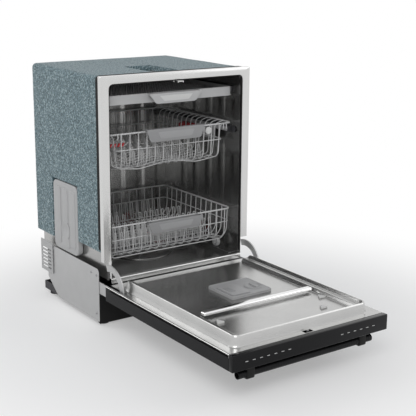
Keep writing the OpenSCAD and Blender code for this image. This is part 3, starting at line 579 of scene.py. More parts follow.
def add_air_break():
    """Moulded water box on the left wall: a rounded plate with raised channels and a round boss."""
    lo, hi = box("air_break")
    body = plate(box_outline(lo[1], hi[1], lo[2], hi[2], 26 * MM), lo[0] + 3 * MM, hi[0], "x", 3 * MM)
    wide, tall = hi[1] - lo[1], hi[2] - lo[2]
    bars = [plate(box_outline(lo[1] + a * wide, lo[1] + b * wide, lo[2] + c * tall, lo[2] + d * tall, 8 * MM),
                  lo[0] + 0.2 * MM, lo[0] + 8 * MM, "x", 2 * MM)
            for a, b, c, d in ((0.08, 0.30, 0.10, 0.92), (0.38, 0.60, 0.42, 0.92), (0.68, 0.92, 0.10, 0.92),
                               (0.34, 0.64, 0.06, 0.20))]
    boss = turned([(30 * MM, 0), (32 * MM, -1.2 * MM), (32 * MM, -2.4 * MM), (20 * MM, -2.7 * MM),
                   (18 * MM, -1.6 * MM)],
                  (lo[0] + 3 * MM, lo[1] + 0.49 * wide, lo[2] + 0.31 * tall), "x")
    piece("water_box", joined(body, *bars, boss), "plastic_light", "cabinet", ["air_break"])


def screw_head(place, axis, radius=4.5 * MM, tall=2.2 * MM, way=1):
    """A domed screw head with a sunk hexagon."""
    dome = [(radius, 0), (radius, 0.35 * tall), (radius * 0.9, 0.75 * tall), (radius * 0.6, tall),
            (radius * 0.42, tall), (radius * 0.40, tall * 0.4)]
    return turned([(r, way * h) for r, h in dome], place, axis, 24)


def add_screws():
    """Screws of the base sides, frame foot and tub rails."""
    lo, hi = box("base_sides")
    outer = [(s * hi[0], y, z) for s in (-1, 1)
             for y, z in ((lo[1] + 15 * MM, hi[2] - 24 * MM), (lo[1] + 52 * MM, hi[2] - 22 * MM),
                          (hi[1] - 50 * MM, hi[2] - 10 * MM), (lo[1] + 20 * MM, lo[2] + 26 * MM))]
    shapes = [screw_head(p, "x", way=1 if p[0] > 0 else -1) for p in outer]
    piece("base_screws", joined(*shapes), "spring_steel", "cabinet")
    rail_lo, rail_hi = box("fixed_rails")
    face = rail_hi[0] - 7 * MM
    spots = [(s * face, y, RAIL_MIDDLE) for s in (-1, 1) for y in (rail_lo[1] + 8 * MM, rail_hi[1] - 8 * MM)]
    shapes = [screw_head(p, "x", 4 * MM, 0.5 * MM, way=-1 if p[0] > 0 else 1) for p in spots]
    piece("rail_rivets", joined(*shapes), "spring_steel", "cabinet")


# ---- door ----

def add_liner():
    """Pressed inner door. With d the depth inside the rim's rounded outline and e inside its inner edge,
    z = flange + eased(d) x (rim + eased(e) x (floor - rim) - flange), where the floor is the track
    or the sunk pan."""
    lo, hi = box("door_liner")
    flange, rim, track, pan = 162 * MM, hi[2], 186 * MM, PAN_TOP
    rim_x, rim_w, ledge_x = 264 * MM, 12 * MM, 226 * MM
    far_y, near_y = lo[1] + 23.6 * MM, hi[1] - 54 * MM
    slot_in, slot_out, slot_y = 277 * MM, 293 * MM, hi[1] - 98 * MM
    latch_x, latch_y0, latch_y1 = 16 * MM, lo[1] + 3 * MM, lo[1] + 20.6 * MM
    half = stations((0, latch_x, 0.008), (latch_x, 216 * MM, 0.01), (216 * MM, 236 * MM, 0.0025),
                    (236 * MM, 266 * MM, 0.0018), (266 * MM, slot_in, 0.006), (slot_in, slot_out, 0.008),
                    (slot_out, hi[0], 0.003))
    x = np.concatenate([-half[::-1], half[1:]])
    y = stations((lo[1], latch_y0, 0.003), (latch_y0, latch_y1, 0.006), (latch_y1, far_y + 26 * MM, 0.0018),
                 (far_y + 26 * MM, near_y - 20 * MM, 0.01), (near_y - 20 * MM, near_y + 4 * MM, 0.0025),
                 (near_y + 4 * MM, hi[1], 0.008), (slot_y, slot_y + MM, 0.001))
    xx, yy = np.meshgrid(x, y, indexing="ij")
    depth = inside_round_box(xx, yy, (0, (far_y + near_y) / 2), (rim_x, (near_y - far_y) / 2), 26 * MM)
    inner_far, inner_near = far_y + rim_w, near_y + 60 * MM
    within = inside_round_box(xx, yy, (0, (inner_far + inner_near) / 2),
                              (rim_x - rim_w, (inner_near - inner_far) / 2), 18 * MM)
    floor = track + (pan - track) * (1 - eased(np.abs(xx), ledge_x - 4 * MM, ledge_x + 3 * MM))
    inside = rim + eased(within, -3 * MM, 6 * MM) * (floor - rim)
    height = flange + eased(depth, 0, 8 * MM) * (inside - flange)
    height -= 2 * MM * eased(np.abs(xx), hi[0] - 3 * MM, hi[0])
    face = np.stack([xx, yy, height], -1)
    back = face - np.array([0, 0, 1.3 * MM])
    mx = (x[1:] + x[:-1])[:, None] / 2
    my = (y[1:] + y[:-1])[None] / 2
    arms = (np.abs(mx) > slot_in) & (np.abs(mx) < slot_out) & (my > slot_y)
    latch = (np.abs(mx) < latch_x) & (my > latch_y0) & (my < latch_y1)
    piece("inner_door", slab(face, back, ~(arms | latch)), "liner_steel", "door", ["door_liner"], smooth=60)


def add_control_strip():
    """Glossy moulding across the end of the door, a thin grey trim along both sides, and small pale marks."""
    lo, hi = box("control_panel")
    relief, middle = 0.6 * MM, (lo[2] + hi[2]) / 2
    body = plate(box_outline(lo[1] + relief, hi[1], lo[2], hi[2], 3 * MM), lo[0], hi[0], "x", 1.2 * MM)
    piece("control_strip", body, "gloss_black", "door", ["control_panel"])
    pads = [plate(box_outline(x - 5 * MM, x + 5 * MM, middle - 0.9 * MM, middle + 0.9 * MM, 0.8 * MM),
                  lo[1] + 0.2 * MM, lo[1] + 2 * relief, "y", 0.15 * MM)
            for x in np.concatenate([np.arange(-250, -90, 26), np.arange(110, 250, 26)]) * MM]
    piece("push_pads", joined(*pads), "plastic_white", "door")
    shell_lo, shell_hi = box("door_shell")
    trims = [plate(box_outline(s * (shell_hi[0] - 0.4 * MM) - 0.4 * MM,
                               s * (shell_hi[0] - 0.4 * MM) + 0.4 * MM,
                               shell_hi[2] - 9 * MM, shell_hi[2] - 1 * MM, 0.35 * MM),
                   shell_lo[1], shell_hi[1] - 30 * MM, "y", 0.2 * MM) for s in (-1, 1)]
    piece("side_trims", joined(*trims), "plastic_grey", "door")


def add_door_handle():
    """Handle tube: a circle of radius R - g(x) carried along x, where g is a row of grooves 9 mm apart.
    A rounded block at each end holds it to the door."""
    lo, hi = box("door_handle")
    radius, groove, pitch = (hi[2] - lo[2]) / 2, 0.5 * MM, 9 * MM
    x = np.linspace(lo[0], hi[0], 520)
    ridge = (0.5 + 0.5 * np.cos(2 * np.pi * x / pitch)) ** 6
    ends = 1.5 * MM * (1 - np.sqrt(np.clip(1 - (1 - np.minimum(x - lo[0], hi[0] - x) / (2 * MM)).clip(0,
        1) ** 2, 0, 1)))
    profile = np.stack([radius - groove * ridge - ends, x], 1)
    wall = np.stack([[radius - 2.5 * MM] * 2, [hi[0] - 0.5 * MM, hi[0] - 30 * MM]], 1)
    start = np.stack([[radius - 2.5 * MM] * 2, [lo[0] + 30 * MM, lo[0] + 0.5 * MM]], 1)
    middle = (0, (lo[1] + hi[1]) / 2, (lo[2] + hi[2]) / 2)
    piece("handle_tube", turned(np.vstack([start, profile, wall]), middle, "x"), "door_black", "door",
          ["door_handle"])
    foot_lo, foot_hi = box("handle_brackets")
    wide = 28 * MM
    outline = box_outline(foot_lo[1], foot_hi[1], foot_lo[2], foot_hi[2], 9 * MM)
    blocks = [plate(outline, foot_lo[0], foot_lo[0] + wide, "x", 3 * MM),
              plate(outline, foot_hi[0] - wide, foot_hi[0], "x", 3 * MM)]
    piece("handle_blocks", joined(*blocks), "plastic_black", "door", ["handle_brackets"])


def add_dispenser():
    """Detergent dispenser: a bevelled surround, the ring of the rinse-aid cap and the ribs of the lid."""
    lo, hi = box("dispenser")
    cap_lo, cap_hi = box("rinse_cap")
    lid_lo, lid_hi = box("dispenser_lid")
    edge = rounded([(lo[0], lo[1]), (hi[0], lo[1]), (hi[0], hi[1]), (lo[0], hi[1])], 10 * MM, closed=True)
    flat = np.column_stack([edge, np.full(len(edge), hi[2] - 1.2 * MM)])
    rim = tube(flat, 2.2 * MM, (0, 0, 1), 10, True)
    centre = ((cap_lo[0] + cap_hi[0]) / 2, (cap_lo[1] + cap_hi[1]) / 2, hi[2])
    ring = turned([(26 * MM, -1 * MM), (31 * MM, -1 * MM), (31 * MM, 1.2 * MM), (29 * MM, 2.4 * MM),
                   (27 * MM, 2.2 * MM),
                   (26 * MM, 1 * MM)], centre)
    piece("dispenser_surround", joined(rim, ring), "plastic_dispenser", "door")
    lid = plate(box_outline(lid_lo[0], lid_hi[0], lid_lo[1], lid_hi[1], 7 * MM), lid_lo[2], lid_hi[2], "z",
                1 * MM)
    ribs = [plate(box_outline(lid_lo[0] + 10 * MM + k * 5 * MM, lid_lo[0] + 12 * MM + k * 5 * MM,
                              lid_lo[1] + 26 * MM,
                              lid_hi[1] - 26 * MM, 0.9 * MM), lid_hi[2] - MM, lid_hi[2] + 1.4 * MM, "z",
                              0.4 * MM)
            for k in range(5)]
    piece("detergent_lid", joined(lid, *ribs), "plastic_dispenser", "dispenser_lid", ["dispenser_lid"])
    bar = plate(box_outline(centre[0] - 3.5 * MM, centre[0] + 3.5 * MM, centre[1] - 20 * MM,
                            centre[1] + 20 * MM, 3 * MM),
                cap_hi[2] - 5 * MM, cap_hi[2], "z", MM)
    cap = turned([(25 * MM, 0), (25 * MM, 7 * MM), (23.5 * MM, 8.6 * MM), (19 * MM, 8 * MM),
                  (17 * MM, 6.6 * MM)],
                 (centre[0], centre[1], cap_lo[2]))
    piece("rinse_aid_cap", joined(cap, bar), "plastic_dispenser", "rinse_cap", ["rinse_cap"])


def add_vents():
    """White three-cornered clips by the pan's corners and the bright deflector rail with rounded ends."""
    lo, hi = box("baffle_rail")
    rail = plate(box_outline(lo[1], hi[1], lo[2] + 6 * MM, hi[2], 6 * MM), lo[0], hi[0], "x", 5 * MM)
    piece("deflector_rail", rail, "polished_steel", "door", ["baffle_rail"])
    y = lo[1] - 70 * MM
    clip = rounded([(-14 * MM, -10 * MM), (14 * MM, -10 * MM), (0, 14 * MM)], 4 * MM, closed=True)
    clips = [plate(clip + np.array([x, y + k]), PAN_TOP + 0.2 * MM, PAN_TOP + 6 * MM, "z", MM)
             for x, k in ((206 * MM, 20 * MM), (147 * MM, -55 * MM), (-196 * MM, 20 * MM))]
    piece("door_clips", joined(*clips), "plastic_white", "door")


# ---- racks ----

def loop_at(x, y0, y1, z, corner):
    """A level rounded loop: half width x, from y0 to y1."""
    flat = rounded([(-x, y0), (x, y0), (x, y1), (-x, y1)], corner, closed=True, steps=6)
    return np.column_stack([flat, np.full(len(flat), z)])


def cross_wires(outline, places, radius, bend):
    """The same bent wire, drawn in x and z, at each y."""
    line = rounded(outline, bend)
    path = np.column_stack([line[:, 0], np.zeros(len(line)), line[:, 1]])
    return scattered(tube(path, radius, (0, 1, 0)), [(0, y, 0) for y in places])


def long_wires(outline, places, radius, bend):
    """The same bent wire, drawn in y and z, at each x."""
    line = rounded(outline, bend)
    path = np.column_stack([np.zeros(len(line)), line])
    return scattered(tube(path, radius, (1, 0, 0)), [(x, 0, 0) for x in places])


def hairpins(x_places, y, z, tall, lean, radius):
    """A row of hairpin tines: up, over a round top 10 mm wide and down, leaning back by lean."""
    wide = 5 * MM
    line = rounded([(-wide, 0), (-wide * 0.8, tall), (wide * 0.8, tall), (wide, 0)], 4 * MM)
    path = np.column_stack([line[:, 0], lean * line[:, 1], line[:, 1]])
    across = np.cross([1, 0, 0], np.array([0, lean, 1]) / math.hypot(lean, 1))
    return scattered(tube(path, radius, across, 8), [(x, y, z) for x in x_places])


def tine_rows(node, rows_y, x0, x1, tall):
    """Rows of hairpins on cross wires, inside one CAD node's box."""
    base = box(node)[0][2] + 2 * MM
    shapes = []
    for y in rows_y:
        xs = np.arange(x0 + 10 * MM, x1 - 6 * MM, 25 * MM)
        shapes.append(hairpins(xs, y, base, tall, 0.10, 1.7 * MM))
        shapes.append(tube([(x0, y, base), (x1, y, base)], 2 * MM, (0, 0, 1)))
    return joined(*shapes)


def add_lower_rack():
    """Lower basket: bent wires both ways between a thick rim, a middle rail and the floor, and wheel clips."""
    lo, hi = box("lower_rack_walls")
    thick, thin = 3 * MM, 1.8 * MM
    rim_z, floor_z = hi[2] - thick, 230 * MM
    x, y0, y1 = hi[0] - thick, lo[1] + thick, hi[1] - thick
    foot = x - 14 * MM
    cross = cross_wires([(-x, rim_z), (-x + 4 * MM, floor_z + 26 * MM), (-foot + 12 * MM, floor_z),
                         (foot - 12 * MM, floor_z),
                         (x - 4 * MM, floor_z + 26 * MM), (x, rim_z)],
                         np.linspace(y0 + 20 * MM, y1 - 20 * MM, 13), thin, 14 * MM)
    along = long_wires([(y0, rim_z), (y0 + 3 * MM, floor_z + 24 * MM), (y0 + 20 * MM, floor_z + 4 * MM),
                        (y1 - 20 * MM, floor_z + 4 * MM), (y1 - 3 * MM, floor_z + 24 * MM), (y1, rim_z)],
                       np.linspace(-x + 26 * MM, x - 26 * MM, 14), thin, 14 * MM)
    rims = [tube(loop_at(x, y0, y1, rim_z, 24 * MM), thick, (0, 0, 1), 10, True),
            tube(loop_at(x - 2 * MM, y0 + 2 * MM, y1 - 2 * MM, rim_z - 48 * MM, 24 * MM), thin, (0, 0, 1),
                 8, True)]
    piece("lower_basket", joined(cross, along, *rims), "coated_wire", "lower_rack", ["lower_rack_walls"], 60)
    clips = []
    for wheel in ("front", "middle", "rear"):
        w_lo, w_hi = box("lower_wheels_" + wheel)
        y, z = (w_lo[1] + w_hi[1]) / 2, (w_lo[2] + w_hi[2]) / 2
        outline = rounded([(y - 8 * MM, z - 8 * MM), (y + 8 * MM, z - 8 * MM),
                           (y + 12 * MM, floor_z + 3 * MM),
                           (y - 12 * MM, floor_z + 3 * MM)], 4 * MM, closed=True)
        for side in (-1, 1):
            a = side * (w_hi[0] - 16 * MM)
            clips.append(plate(outline, min(a, a + side * 4 * MM), max(a, a + side * 4 * MM), "x", 0.8 * MM))
            clips.append(turned([(4 * MM, -2 * MM), (4 * MM, 16 * MM), (3 * MM, 17.6 * MM)] if side > 0 else
                                [(4 * MM, 2 * MM), (4 * MM, -16 * MM), (3 * MM, -17.6 * MM)], (a, y, z),
                                "x", 20))
    piece("wheel_clips", joined(*clips), "plastic_light", "lower_rack", ["lower_rack_floor"])
    tines_lo, tines_hi = box("lower_tines")
    fold_lo, fold_hi = box("lower_folding_tines")
    tall = tines_hi[2] - tines_lo[2] - 5 * MM
    first, last = tines_lo[1] + 2 * MM, tines_hi[1] - 2 * MM
    pitch = (last - first) / 7
    full = tine_rows("lower_tines", [first + k * pitch for k in (0, 1, 2, 7)], tines_lo[0], tines_hi[0], tall)
    part = tine_rows("lower_tines", [first + k * pitch for k in (4, 5)], tines_lo[0], -20 * MM, tall)
    piece("plate_tines", joined(full, part), "coated_wire", "lower_rack", ["lower_tines"], 60)
    folding = tine_rows("lower_folding_tines", [(fold_lo[1] + fold_hi[1]) / 2], fold_lo[0] + 2 * MM,
                        fold_hi[0] - 2 * MM, tall)
    piece("folding_tines", folding, "coated_wire", "lower_folding_tines", ["lower_folding_tines"], 60)


def add_upper_rack():
    """Upper basket: wires that come in over the rails, drop down the sides and cross a ridged floor."""
    hi = box("upper_rack_rims")[1]
    floor_hi = box("upper_rack_floor")[1]
    side_hi = box("upper_rack_sides")[1]
    end_lo, end_hi = box("upper_rack_ends")
    thick, thin = 3 * MM, 1.8 * MM
    rim_z, floor_z = hi[2] - thick, floor_hi[2] - thin
    x, inner = hi[0] - thick, side_hi[0] - 3 * MM
    y0, y1 = end_lo[1] + thick, end_hi[1] - thick
    half = [(inner * 0.10, floor_z + 16 * MM), (inner * 0.55, floor_z + 2 * MM),
            (inner - 10 * MM, floor_z + 12 * MM),
            (inner + 2 * MM, rim_z - 8 * MM), (x, rim_z)]
    outline = [(-a, b) for a, b in half[::-1]] + half
    cross = cross_wires(outline, np.linspace(y0 + 22 * MM, y1 - 22 * MM, 14), thin, 13 * MM)
    along = long_wires([(y0, rim_z), (y0 + 4 * MM, floor_z + 26 * MM), (y0 + 22 * MM, floor_z + 8 * MM),
                        (y1 - 22 * MM, floor_z + 8 * MM), (y1 - 4 * MM, floor_z + 26 * MM), (y1, rim_z)],
                       np.linspace(-inner + 18 * MM, inner - 18 * MM, 13), thin, 14 * MM)
    rims = [tube(loop_at(x, y0, y1, rim_z, 26 * MM), thick, (0, 0, 1), 10, True),
            tube(loop_at(inner + 1 * MM, y0 + 2 * MM, y1 - 2 * MM, rim_z - 56 * MM, 22 * MM), thin,
                 (0, 0, 1), 8, True)]
    rows = [hairpins(np.arange(-150, 190, 34) * MM, y, floor_z + 8 * MM, 46 * MM, 0.12, 1.6 * MM)
            for y in np.linspace(y0 + 60 * MM, y1 - 50 * MM, 6)]
    hooks = [long_wires([(y0 - 12 * MM, rim_z - 16 * MM), (y0 - 15 * MM, rim_z + 1 * MM),
                         (y0 + 6 * MM, rim_z - 1 * MM)],
                        [s * (x - 46 * MM), s * (x - 34 * MM)], thin, 8 * MM) for s in (-1, 1)]
    piece("upper_basket", joined(cross, along, *rims, *rows, *hooks), "coated_wire", "upper_rack",
          ["upper_rack_rims", "upper_rack_floor", "upper_rack_sides", "upper_rack_ends"], 60)
    shelf_lo, shelf_hi = box("cup_shelf")
    z = (shelf_lo[2] + shelf_hi[2]) / 2
    fingers = cross_wires([(shelf_lo[0] + 2 * MM, z), (shelf_hi[0] - 14 * MM, z),
                           (shelf_hi[0] - 2 * MM, z + 9 * MM)],
                          np.linspace(shelf_lo[1] + 6 * MM, shelf_hi[1] - 6 * MM, 12), 1.7 * MM, 8 * MM)
    bars = [tube([(a, shelf_lo[1], z), (a, shelf_hi[1], z)], 2 * MM, (0, 0, 1))
            for a in (shelf_lo[0] + 2 * MM, shelf_hi[0] - 22 * MM)]
    piece("cup_rest", joined(fingers, *bars), "coated_wire", "cup_shelf", ["cup_shelf"], 60)
    stripes = [plate(rounded([(a, -6 * MM), (a + 7 * MM, -6 * MM), (a + 13 * MM, 6 * MM),
                              (a + 6 * MM, 6 * MM)], MM, closed=True)
                     + np.array([0, z + 4 * MM]), shelf_lo[1] - 1 * MM, shelf_lo[1] + 5 * MM, "y", 0.5 * MM)
               for a in shelf_lo[0] + np.arange(6, 70, 16) * MM]
    piece("shelf_marks", joined(*stripes), "plastic_red", "cup_shelf")


def add_adjusters():
    """Sliding rails with a short moulded plate, and the red arched levers that free the height stops."""
    lo, hi = box("height_adjusters")
    lever_lo, lever_hi = box("height_levers")
    rail_x, plate_x = hi[0] - 7 * MM, hi[0] - 15 * MM
    rail_z0, rail_z1 = hi[2] - 15 * MM, hi[2] - 1 * MM
    y0, y1 = lo[1] + 64 * MM, lever_lo[1] - 8 * MM
    shapes, levers = [], []
    arch = [(0.00, 0.05), (0.17, 0.0), (0.24, 0.42), (0.62, 0.46), (0.70, 0.10), (0.95, 0.22), (1.0, 0.72),
            (0.80, 0.95), (0.42, 0.82), (0.22, 1.0), (0.04, 0.92)]
    span = lever_hi - lever_lo
    outline = rounded([(lever_lo[1] + a * span[1], lever_lo[2] + b * span[2]) for a, b in arch], 5 * MM,
                      closed=True)
    for side in (-1, 1):
        def between(a, b):
            return (a, b) if side > 0 else (-b, -a)
        shapes.append(plate(box_outline(*between(rail_x, hi[0]), rail_z0, rail_z1, 2 * MM), lo[1], hi[1],
                            "y", 0.5 * MM))
        shapes.append(plate(box_outline(y0, y1, lo[2] + 14 * MM, hi[2], 7 * MM), *between(plate_x, rail_x),
                            "x", 1.5 * MM))
        shapes.append(plate(box_outline(y1 - 12 * MM, lever_hi[1] + 20 * MM, hi[2] - 14 * MM, hi[2], 5 * MM),
                            *between(plate_x, rail_x), "x", 1.5 * MM))
        levers.append(plate(outline, *between(lever_hi[0] - 2 * MM, plate_x + 9 * MM), "x", 1.6 * MM))
    piece("rack_adjusters", joined(*shapes), "plastic_grey", "upper_carriage", ["height_adjusters"])
    piece("red_levers", joined(*levers), "plastic_red", "height_levers", ["height_levers"])


def add_grip(node, body, name, top, bottom, inset, node_replaced=True):
    """A trapezoid finger grip, a paler bare inset and two arms that hold it off the basket."""
    lo, hi = box(node)
    y0 = lo[1]
    z1 = hi[2]
    z0 = lo[2] if node_replaced else hi[2] - 35 * MM
    outline = rounded([(-bottom / 2, z0), (bottom / 2, z0), (top / 2, z1), (-top / 2, z1)], 9 * MM,
                      closed=True, steps=5)
    face = plate(outline, y0, y0 + 4 * MM, "y", 1.4 * MM)
    lip = plate(box_outline(-top / 2 + 6 * MM, top / 2 - 6 * MM, z1 - 5 * MM, z1, 2 * MM), y0 + 2 * MM,
                y0 + 16 * MM, "y", 1.2 * MM)
    arms = [plate(box_outline(s * (top / 2 - 14 * MM) - 4 * MM, s * (top / 2 - 14 * MM) + 4 * MM,
                              z1 - 9 * MM, z1, 2 * MM),
                  y0 + 3 * MM, y0 + 29 * MM, "y", MM) for s in (-1, 1)]
    piece(name, joined(face, lip, *arms), "plastic_handle" if node_replaced else "plastic_light", body,
          [node] if node_replaced else [])
    share = 0.62
    middle = (z0 + z1) / 2
    low = (z1 - z0) * 0.26
    card = rounded([(-bottom / 2 * share, middle - low), (bottom / 2 * share, middle - low),
                    (top / 2 * share, middle + low), (-top / 2 * share, middle + low)], 4 * MM, closed=True)
    piece(name + "_inset", plate(card, y0 - 0.5 * MM, y0 + 1.5 * MM, "y", 0.5 * MM), inset, body)


def add_tray():
    """Cutlery tray: a pierced floor, rows of small fins, and a moulded skirt with a rolled edge."""
    lo, hi = box("cutlery_tray")
    grip_deep = 26 * MM
    y0, y1 = lo[1] + grip_deep, hi[1]
    top, floor, half = hi[2], hi[2] - 32 * MM, hi[0]
    lanes = np.arange(-half + 16 * MM, half - 16 * MM, 20 * MM)
    x = np.unique(np.concatenate([[-half + 2 * MM, half - 2 * MM], lanes, lanes + 8 * MM]).round(6))
    rows = np.linspace(y0 + 4 * MM, y1 - 4 * MM, 9)
    y = np.unique(np.concatenate([rows[:-1], rows[1:] - 9 * MM, rows[-1:]]).round(6))
    xx, yy = np.meshgrid(x, y, indexing="ij")
    face = np.stack([xx, yy, np.full_like(xx, floor + 3 * MM)], -1)
    mx, my = (x[1:] + x[:-1]) / 2, (y[1:] + y[:-1]) / 2
    lane = (np.abs(mx[:, None] - (lanes + 4 * MM)[None]) < 2 * MM).any(1)
    gap = ((my[:, None] > rows[None, :-1]) & (my[:, None] < rows[None, 1:] - 9 * MM)).any(1)
    base = slab(face, face - np.array([0, 0, 2.4 * MM]), ~(lane[:, None] & gap[None]))
    fin = plate(rounded([(-3.2 * MM, 0), (3.2 * MM, 0), (1.8 * MM, 17 * MM), (-1.8 * MM, 17 * MM)],
                        1.2 * MM, closed=True, steps=2),
                -0.9 * MM, 0.9 * MM, "y", 0.4 * MM)
    spots = [(a, b, floor + 2.6 * MM) for a in lanes + 14 * MM for b in np.arange(y0 + 16 * MM,
                                                                                  y1 - 14 * MM, 17 * MM)]
    spots = [p for p in spots if abs(p[0]) < half - 10 * MM]
    line = loop_at(half - 2 * MM, y0 + 2 * MM, y1 - 2 * MM, 0, 12 * MM)
    centre = np.array([0, (y0 + y1) / 2, 0])
    inward = (centre - line) * np.array([1, 1, 0])
    inward = np.sign(inward) * (np.abs(inward) > (np.array([half, (y1 - y0) / 2, 1]) - 14 * MM)) + 0.0

    def lift(offset, z):
        """The skirt's line moved in by offset and up to z."""
        return line + inward * offset + np.array([0, 0, z])

    outer = [lift(0, floor), lift(-0.6 * MM, floor + 12 * MM), lift(0, top - 4 * MM), lift(0, top - MM),
             lift(1.2 * MM, top),
             lift(4 * MM, top - 0.6 * MM), lift(4.4 * MM, top - 3 * MM), lift(2.6 * MM, top - 5 * MM),
             lift(2.4 * MM, floor + 1 * MM)]
    rings = np.stack(outer)
    skirt = rings.reshape(-1, 3), [grid_faces(len(rings), len(line), True, True)]
    piece("tray_shell", joined(base, skirt), "plastic_light", "cutlery_tray", ["cutlery_tray"])
    piece("tray_fins", scattered(fin, spots), "plastic_grey", "cutlery_tray")


def wheel(place, side):
    """A rack wheel: a turned tyre with a dished web and a hub cap."""
    outline = [(4.2, -6), (6, -6), (7, -4.4), (13.6, -3), (15.4, -6), (17.2, -6), (18, -4.6), (18, 4.6),
               (17.2, 6),
               (15.4, 6), (13.6, 3.4), (8, 4), (7.4, 6), (4.2, 6)]
    return turned([(r * MM, side * h * MM) for r, h in outline], place, "x", 40)


def add_wheels():
    """A pair of wheels for each axle of the lower rack."""
    for name in ("front", "middle", "rear"):
        node = "lower_wheels_" + name
        lo, hi = box(node)
        place = np.array([hi[0] - 6 * MM, (lo[1] + hi[1]) / 2, (lo[2] + hi[2]) / 2])
        pair = joined(wheel(place, 1), wheel(place * [-1, 1, 1], -1))
        piece("rack_wheels_" + name, pair, "plastic_light", node, [node])


def add_spray_arm(node, body, name):
    """A spray arm: a rounded section |b/w(a)|^2.6 + |c/t|^2.6 = 1 carried along the arm,
    narrowing from the hub to round tips, with raised jets along it."""
    lo, hi = box(node)
    centre = (lo + hi) / 2
    length = (hi[0] - lo[0]) / 2
    half_w, half_t = 23 * MM, 5 * MM
    a = length * np.sin(np.linspace(-np.pi / 2, np.pi / 2, 60))
    width = half_w * (1 - 0.35 * (np.abs(a) / length)) * (1 - (np.abs(a) / length).clip(0,
        1) ** 9) ** 0.5 + 0.4 * MM
    angle = np.linspace(0, 2 * np.pi, 28, endpoint=False)
    b = np.sign(np.cos(angle)) * np.abs(np.cos(angle)) ** (2 / 2.6)
    c = np.sign(np.sin(angle)) * np.abs(np.sin(angle)) ** (2 / 2.6)
    z = lo[2] + half_t if body != "lower_spray_arm" else lo[2] + 6 * MM + half_t
    points = np.stack([centre[0] + a[:, None] + 0 * b, centre[1] + width[:, None] * b,
                       z + half_t * c + 0 * width[:, None]], -1)
    blade = points.reshape(-1, 3), [grid_faces(60, 28, False, True), np.arange(28)[None],
                                    np.arange(28)[None] + 59 * 28]
    jet = turned([(5 * MM, 0), (4.6 * MM, 1.2 * MM), (2 * MM, 1.6 * MM), (1.8 * MM, 0.4 * MM)], (0, 0, 0),
                 "z", 16)
    spots = [(centre[0] + s * length, centre[1] + o * MM, z + half_t - 0.9 * MM)
             for s, o in ((-0.88, 3), (-0.66, -6), (-0.42, 6), (0.36, -7), (0.6, 5), (0.84, -2))]
    hub = turned([(20 * MM, 0), (22 * MM, 4 * MM), (22 * MM, 9 * MM), (18 * MM, 13 * MM), (9 * MM, 14 * MM)],
                 (centre[0], centre[1], lo[2]))
    piece(name, joined(blade, scattered(jet, spots), hub), "plastic_grey", body, [node])


def add_rollers():
    """Rollers at the front of the tub rails and an oval knob at the right."""
    lo, hi = box("fixed_rails")
    shapes = [turned([(9 * MM, 0), (10.5 * MM, s * 1.2 * MM), (10.5 * MM, s * 4 * MM),
                      (8.6 * MM, s * 5 * MM), (3 * MM, s * 4.4 * MM)],
                     (-s * (hi[0] - 1 * MM), lo[1] - 16 * MM, RAIL_MIDDLE), "x", 28) for s in (-1, 1)]
    piece("rail_rollers", joined(*shapes), "plastic_dark", "cabinet")
    rack_lo, rack_hi = box("upper_rack_ends")
    knob = turned([(10 * MM, 0), (13 * MM, -2 * MM), (13 * MM, -5 * MM), (10 * MM, -7.5 * MM),
                   (5 * MM, -8 * MM)],
                  (150 * MM, rack_lo[1] + 2 * MM, rack_hi[2] - 22 * MM), "y")
    piece("rack_knob", knob, "plastic_white", "upper_rack")


# ---- what stays as CAD ----

def finish_cad_nodes():
    """Every shown CAD node takes its slot's material and small rounded edges."""
    slots = {row["node"]: row["material_slot"] for row in frame["record"]["subparts"]}
    for name, obj in frame["nodes"].items():
        obj.data.materials.clear()
        obj.data.materials.append(FINISHES[slots[name]])
        if obj.hide_render:
            continue
        weld = obj.modifiers.new("weld", "WELD")
        weld.merge_threshold = 0.00001
        edge = obj.modifiers.new("edge", "BEVEL")
        edge.width = 0.0007
        edge.segments = 2
        edge.limit_method = "ANGLE"
        edge.angle_limit = math.radians(40)


# ---- studio ----

def add_light(name, place, size, power):
    """A soft lamp that faces the middle of the machine."""
    lamp = bpy.data.objects.new(name, bpy.data.lights.new(name, "AREA"))
    lamp.data.shape, lamp.data.size, lamp.data.energy = "SQUARE", size, power
    lamp.location = place
    lamp.rotation_euler = (Vector((0, 0, 0.4)) - Vector(place)).to_track_quat("-Z", "Y").to_euler()
    bpy.context.scene.collection.objects.link(lamp)


def seen_directly(tree):
    """1 for rays from the camera, a mirror or through glass, else 0."""
    path = tree.nodes.new("ShaderNodeLightPath")
    total = sums(tree, "ADD", path.outputs["Is Camera Ray"], path.outputs["Is Glossy Ray"])
    total = sums(tree, "ADD", total, path.outputs["Is Transmission Ray"])
    return sums(tree, "MINIMUM", total, 1.0)


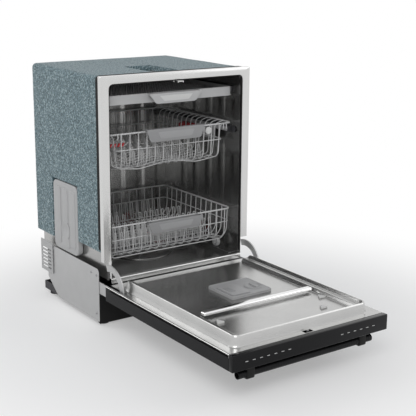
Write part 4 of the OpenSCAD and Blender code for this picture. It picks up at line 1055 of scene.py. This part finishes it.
def add_studio():
    """A pale floor that fades to white, a white surround and three soft lamps."""
    world = bpy.data.worlds.new("surround")
    bpy.context.scene.world = world
    world.use_nodes = True
    tree = world.node_tree
    shown = tree.nodes["Background"]
    shown.inputs["Color"].default_value = (1, 1, 1, 1)
    shown.inputs["Strength"].default_value = 1.0
    lit = tree.nodes.new("ShaderNodeBackground")
    lit.inputs["Color"].default_value = (0.95, 0.97, 1, 1)
    lit.inputs["Strength"].default_value = 0.36
    mix = tree.nodes.new("ShaderNodeMixShader")
    tree.links.new(seen_directly(tree), mix.inputs["Fac"])
    tree.links.new(lit.outputs[0], mix.inputs[1])
    tree.links.new(shown.outputs[0], mix.inputs[2])
    tree.links.new(mix.outputs[0], tree.nodes["World Output"].inputs["Surface"])
    add_light("key", (-2.2, -2.6, 3.0), 2.2, 60)
    add_light("fill", (2.8, -1.8, 2.2), 2.4, 20)
    add_light("rear", (-1.8, 2.6, 2.6), 2.0, 24)
    reach = 14.0
    mesh = bpy.data.meshes.new("floor")
    mesh.from_pydata([(-reach, -reach, 0), (reach, -reach, 0), (reach, reach, 0), (-reach, reach, 0)], [],
                     [(0, 1, 2, 3)])
    floor = bpy.data.objects.new("floor", mesh)
    bpy.context.scene.collection.objects.link(floor)
    material, tree, shader, where = new_material("floor_paper")
    mesh.materials.append(material)
    shader.inputs["Base Color"].default_value = (0.93, 0.93, 0.93, 1)
    shader.inputs["Roughness"].default_value = 0.9
    glow = tree.nodes.new("ShaderNodeEmission")
    far = tree.nodes.new("ShaderNodeVectorMath")
    far.operation = "LENGTH"
    tree.links.new(where, far.inputs[0])
    fade = tree.nodes.new("ShaderNodeMapRange")
    fade.interpolation_type = "SMOOTHSTEP"
    for label, value in (("From Min", 0.55), ("From Max", 1.5), ("To Min", 0.35), ("To Max", 1.0)):
        fade.inputs[label].default_value = value
    tree.links.new(far.outputs["Value"], fade.inputs["Value"])
    mix = tree.nodes.new("ShaderNodeMixShader")
    tree.links.new(sums(tree, "MULTIPLY", fade.outputs["Result"], seen_directly(tree)), mix.inputs["Fac"])
    tree.links.new(shader.outputs[0], mix.inputs[1])
    tree.links.new(glow.outputs[0], mix.inputs[2])
    tree.links.new(mix.outputs[0], tree.nodes["Material Output"].inputs["Surface"])
    bpy.context.scene.view_settings.view_transform = "Standard"


add_camera()
add_studio()
add_blanket()
add_front_frame()
add_tub()
add_air_break()
add_screws()
add_liner()
add_control_strip()
add_door_handle()
add_dispenser()
add_vents()
add_lower_rack()
add_upper_rack()
add_tray()
add_grip("lower_rack_handle", "lower_rack", "lower_grip", 232 * MM, 196 * MM, "plastic_grey")
add_grip("upper_rack_handle", "upper_rack", "upper_grip", 238 * MM, 204 * MM, "plastic_grey")
add_grip("cutlery_tray", "cutlery_tray", "tray_grip", 216 * MM, 160 * MM, "plastic_white", False)
add_adjusters()
add_wheels()
add_spray_arm("lower_spray_arm", "lower_spray_arm", "lower_arm")
add_spray_arm("middle_spray_arm", "middle_spray_arm", "middle_arm")
add_rollers()
finish_cad_nodes()
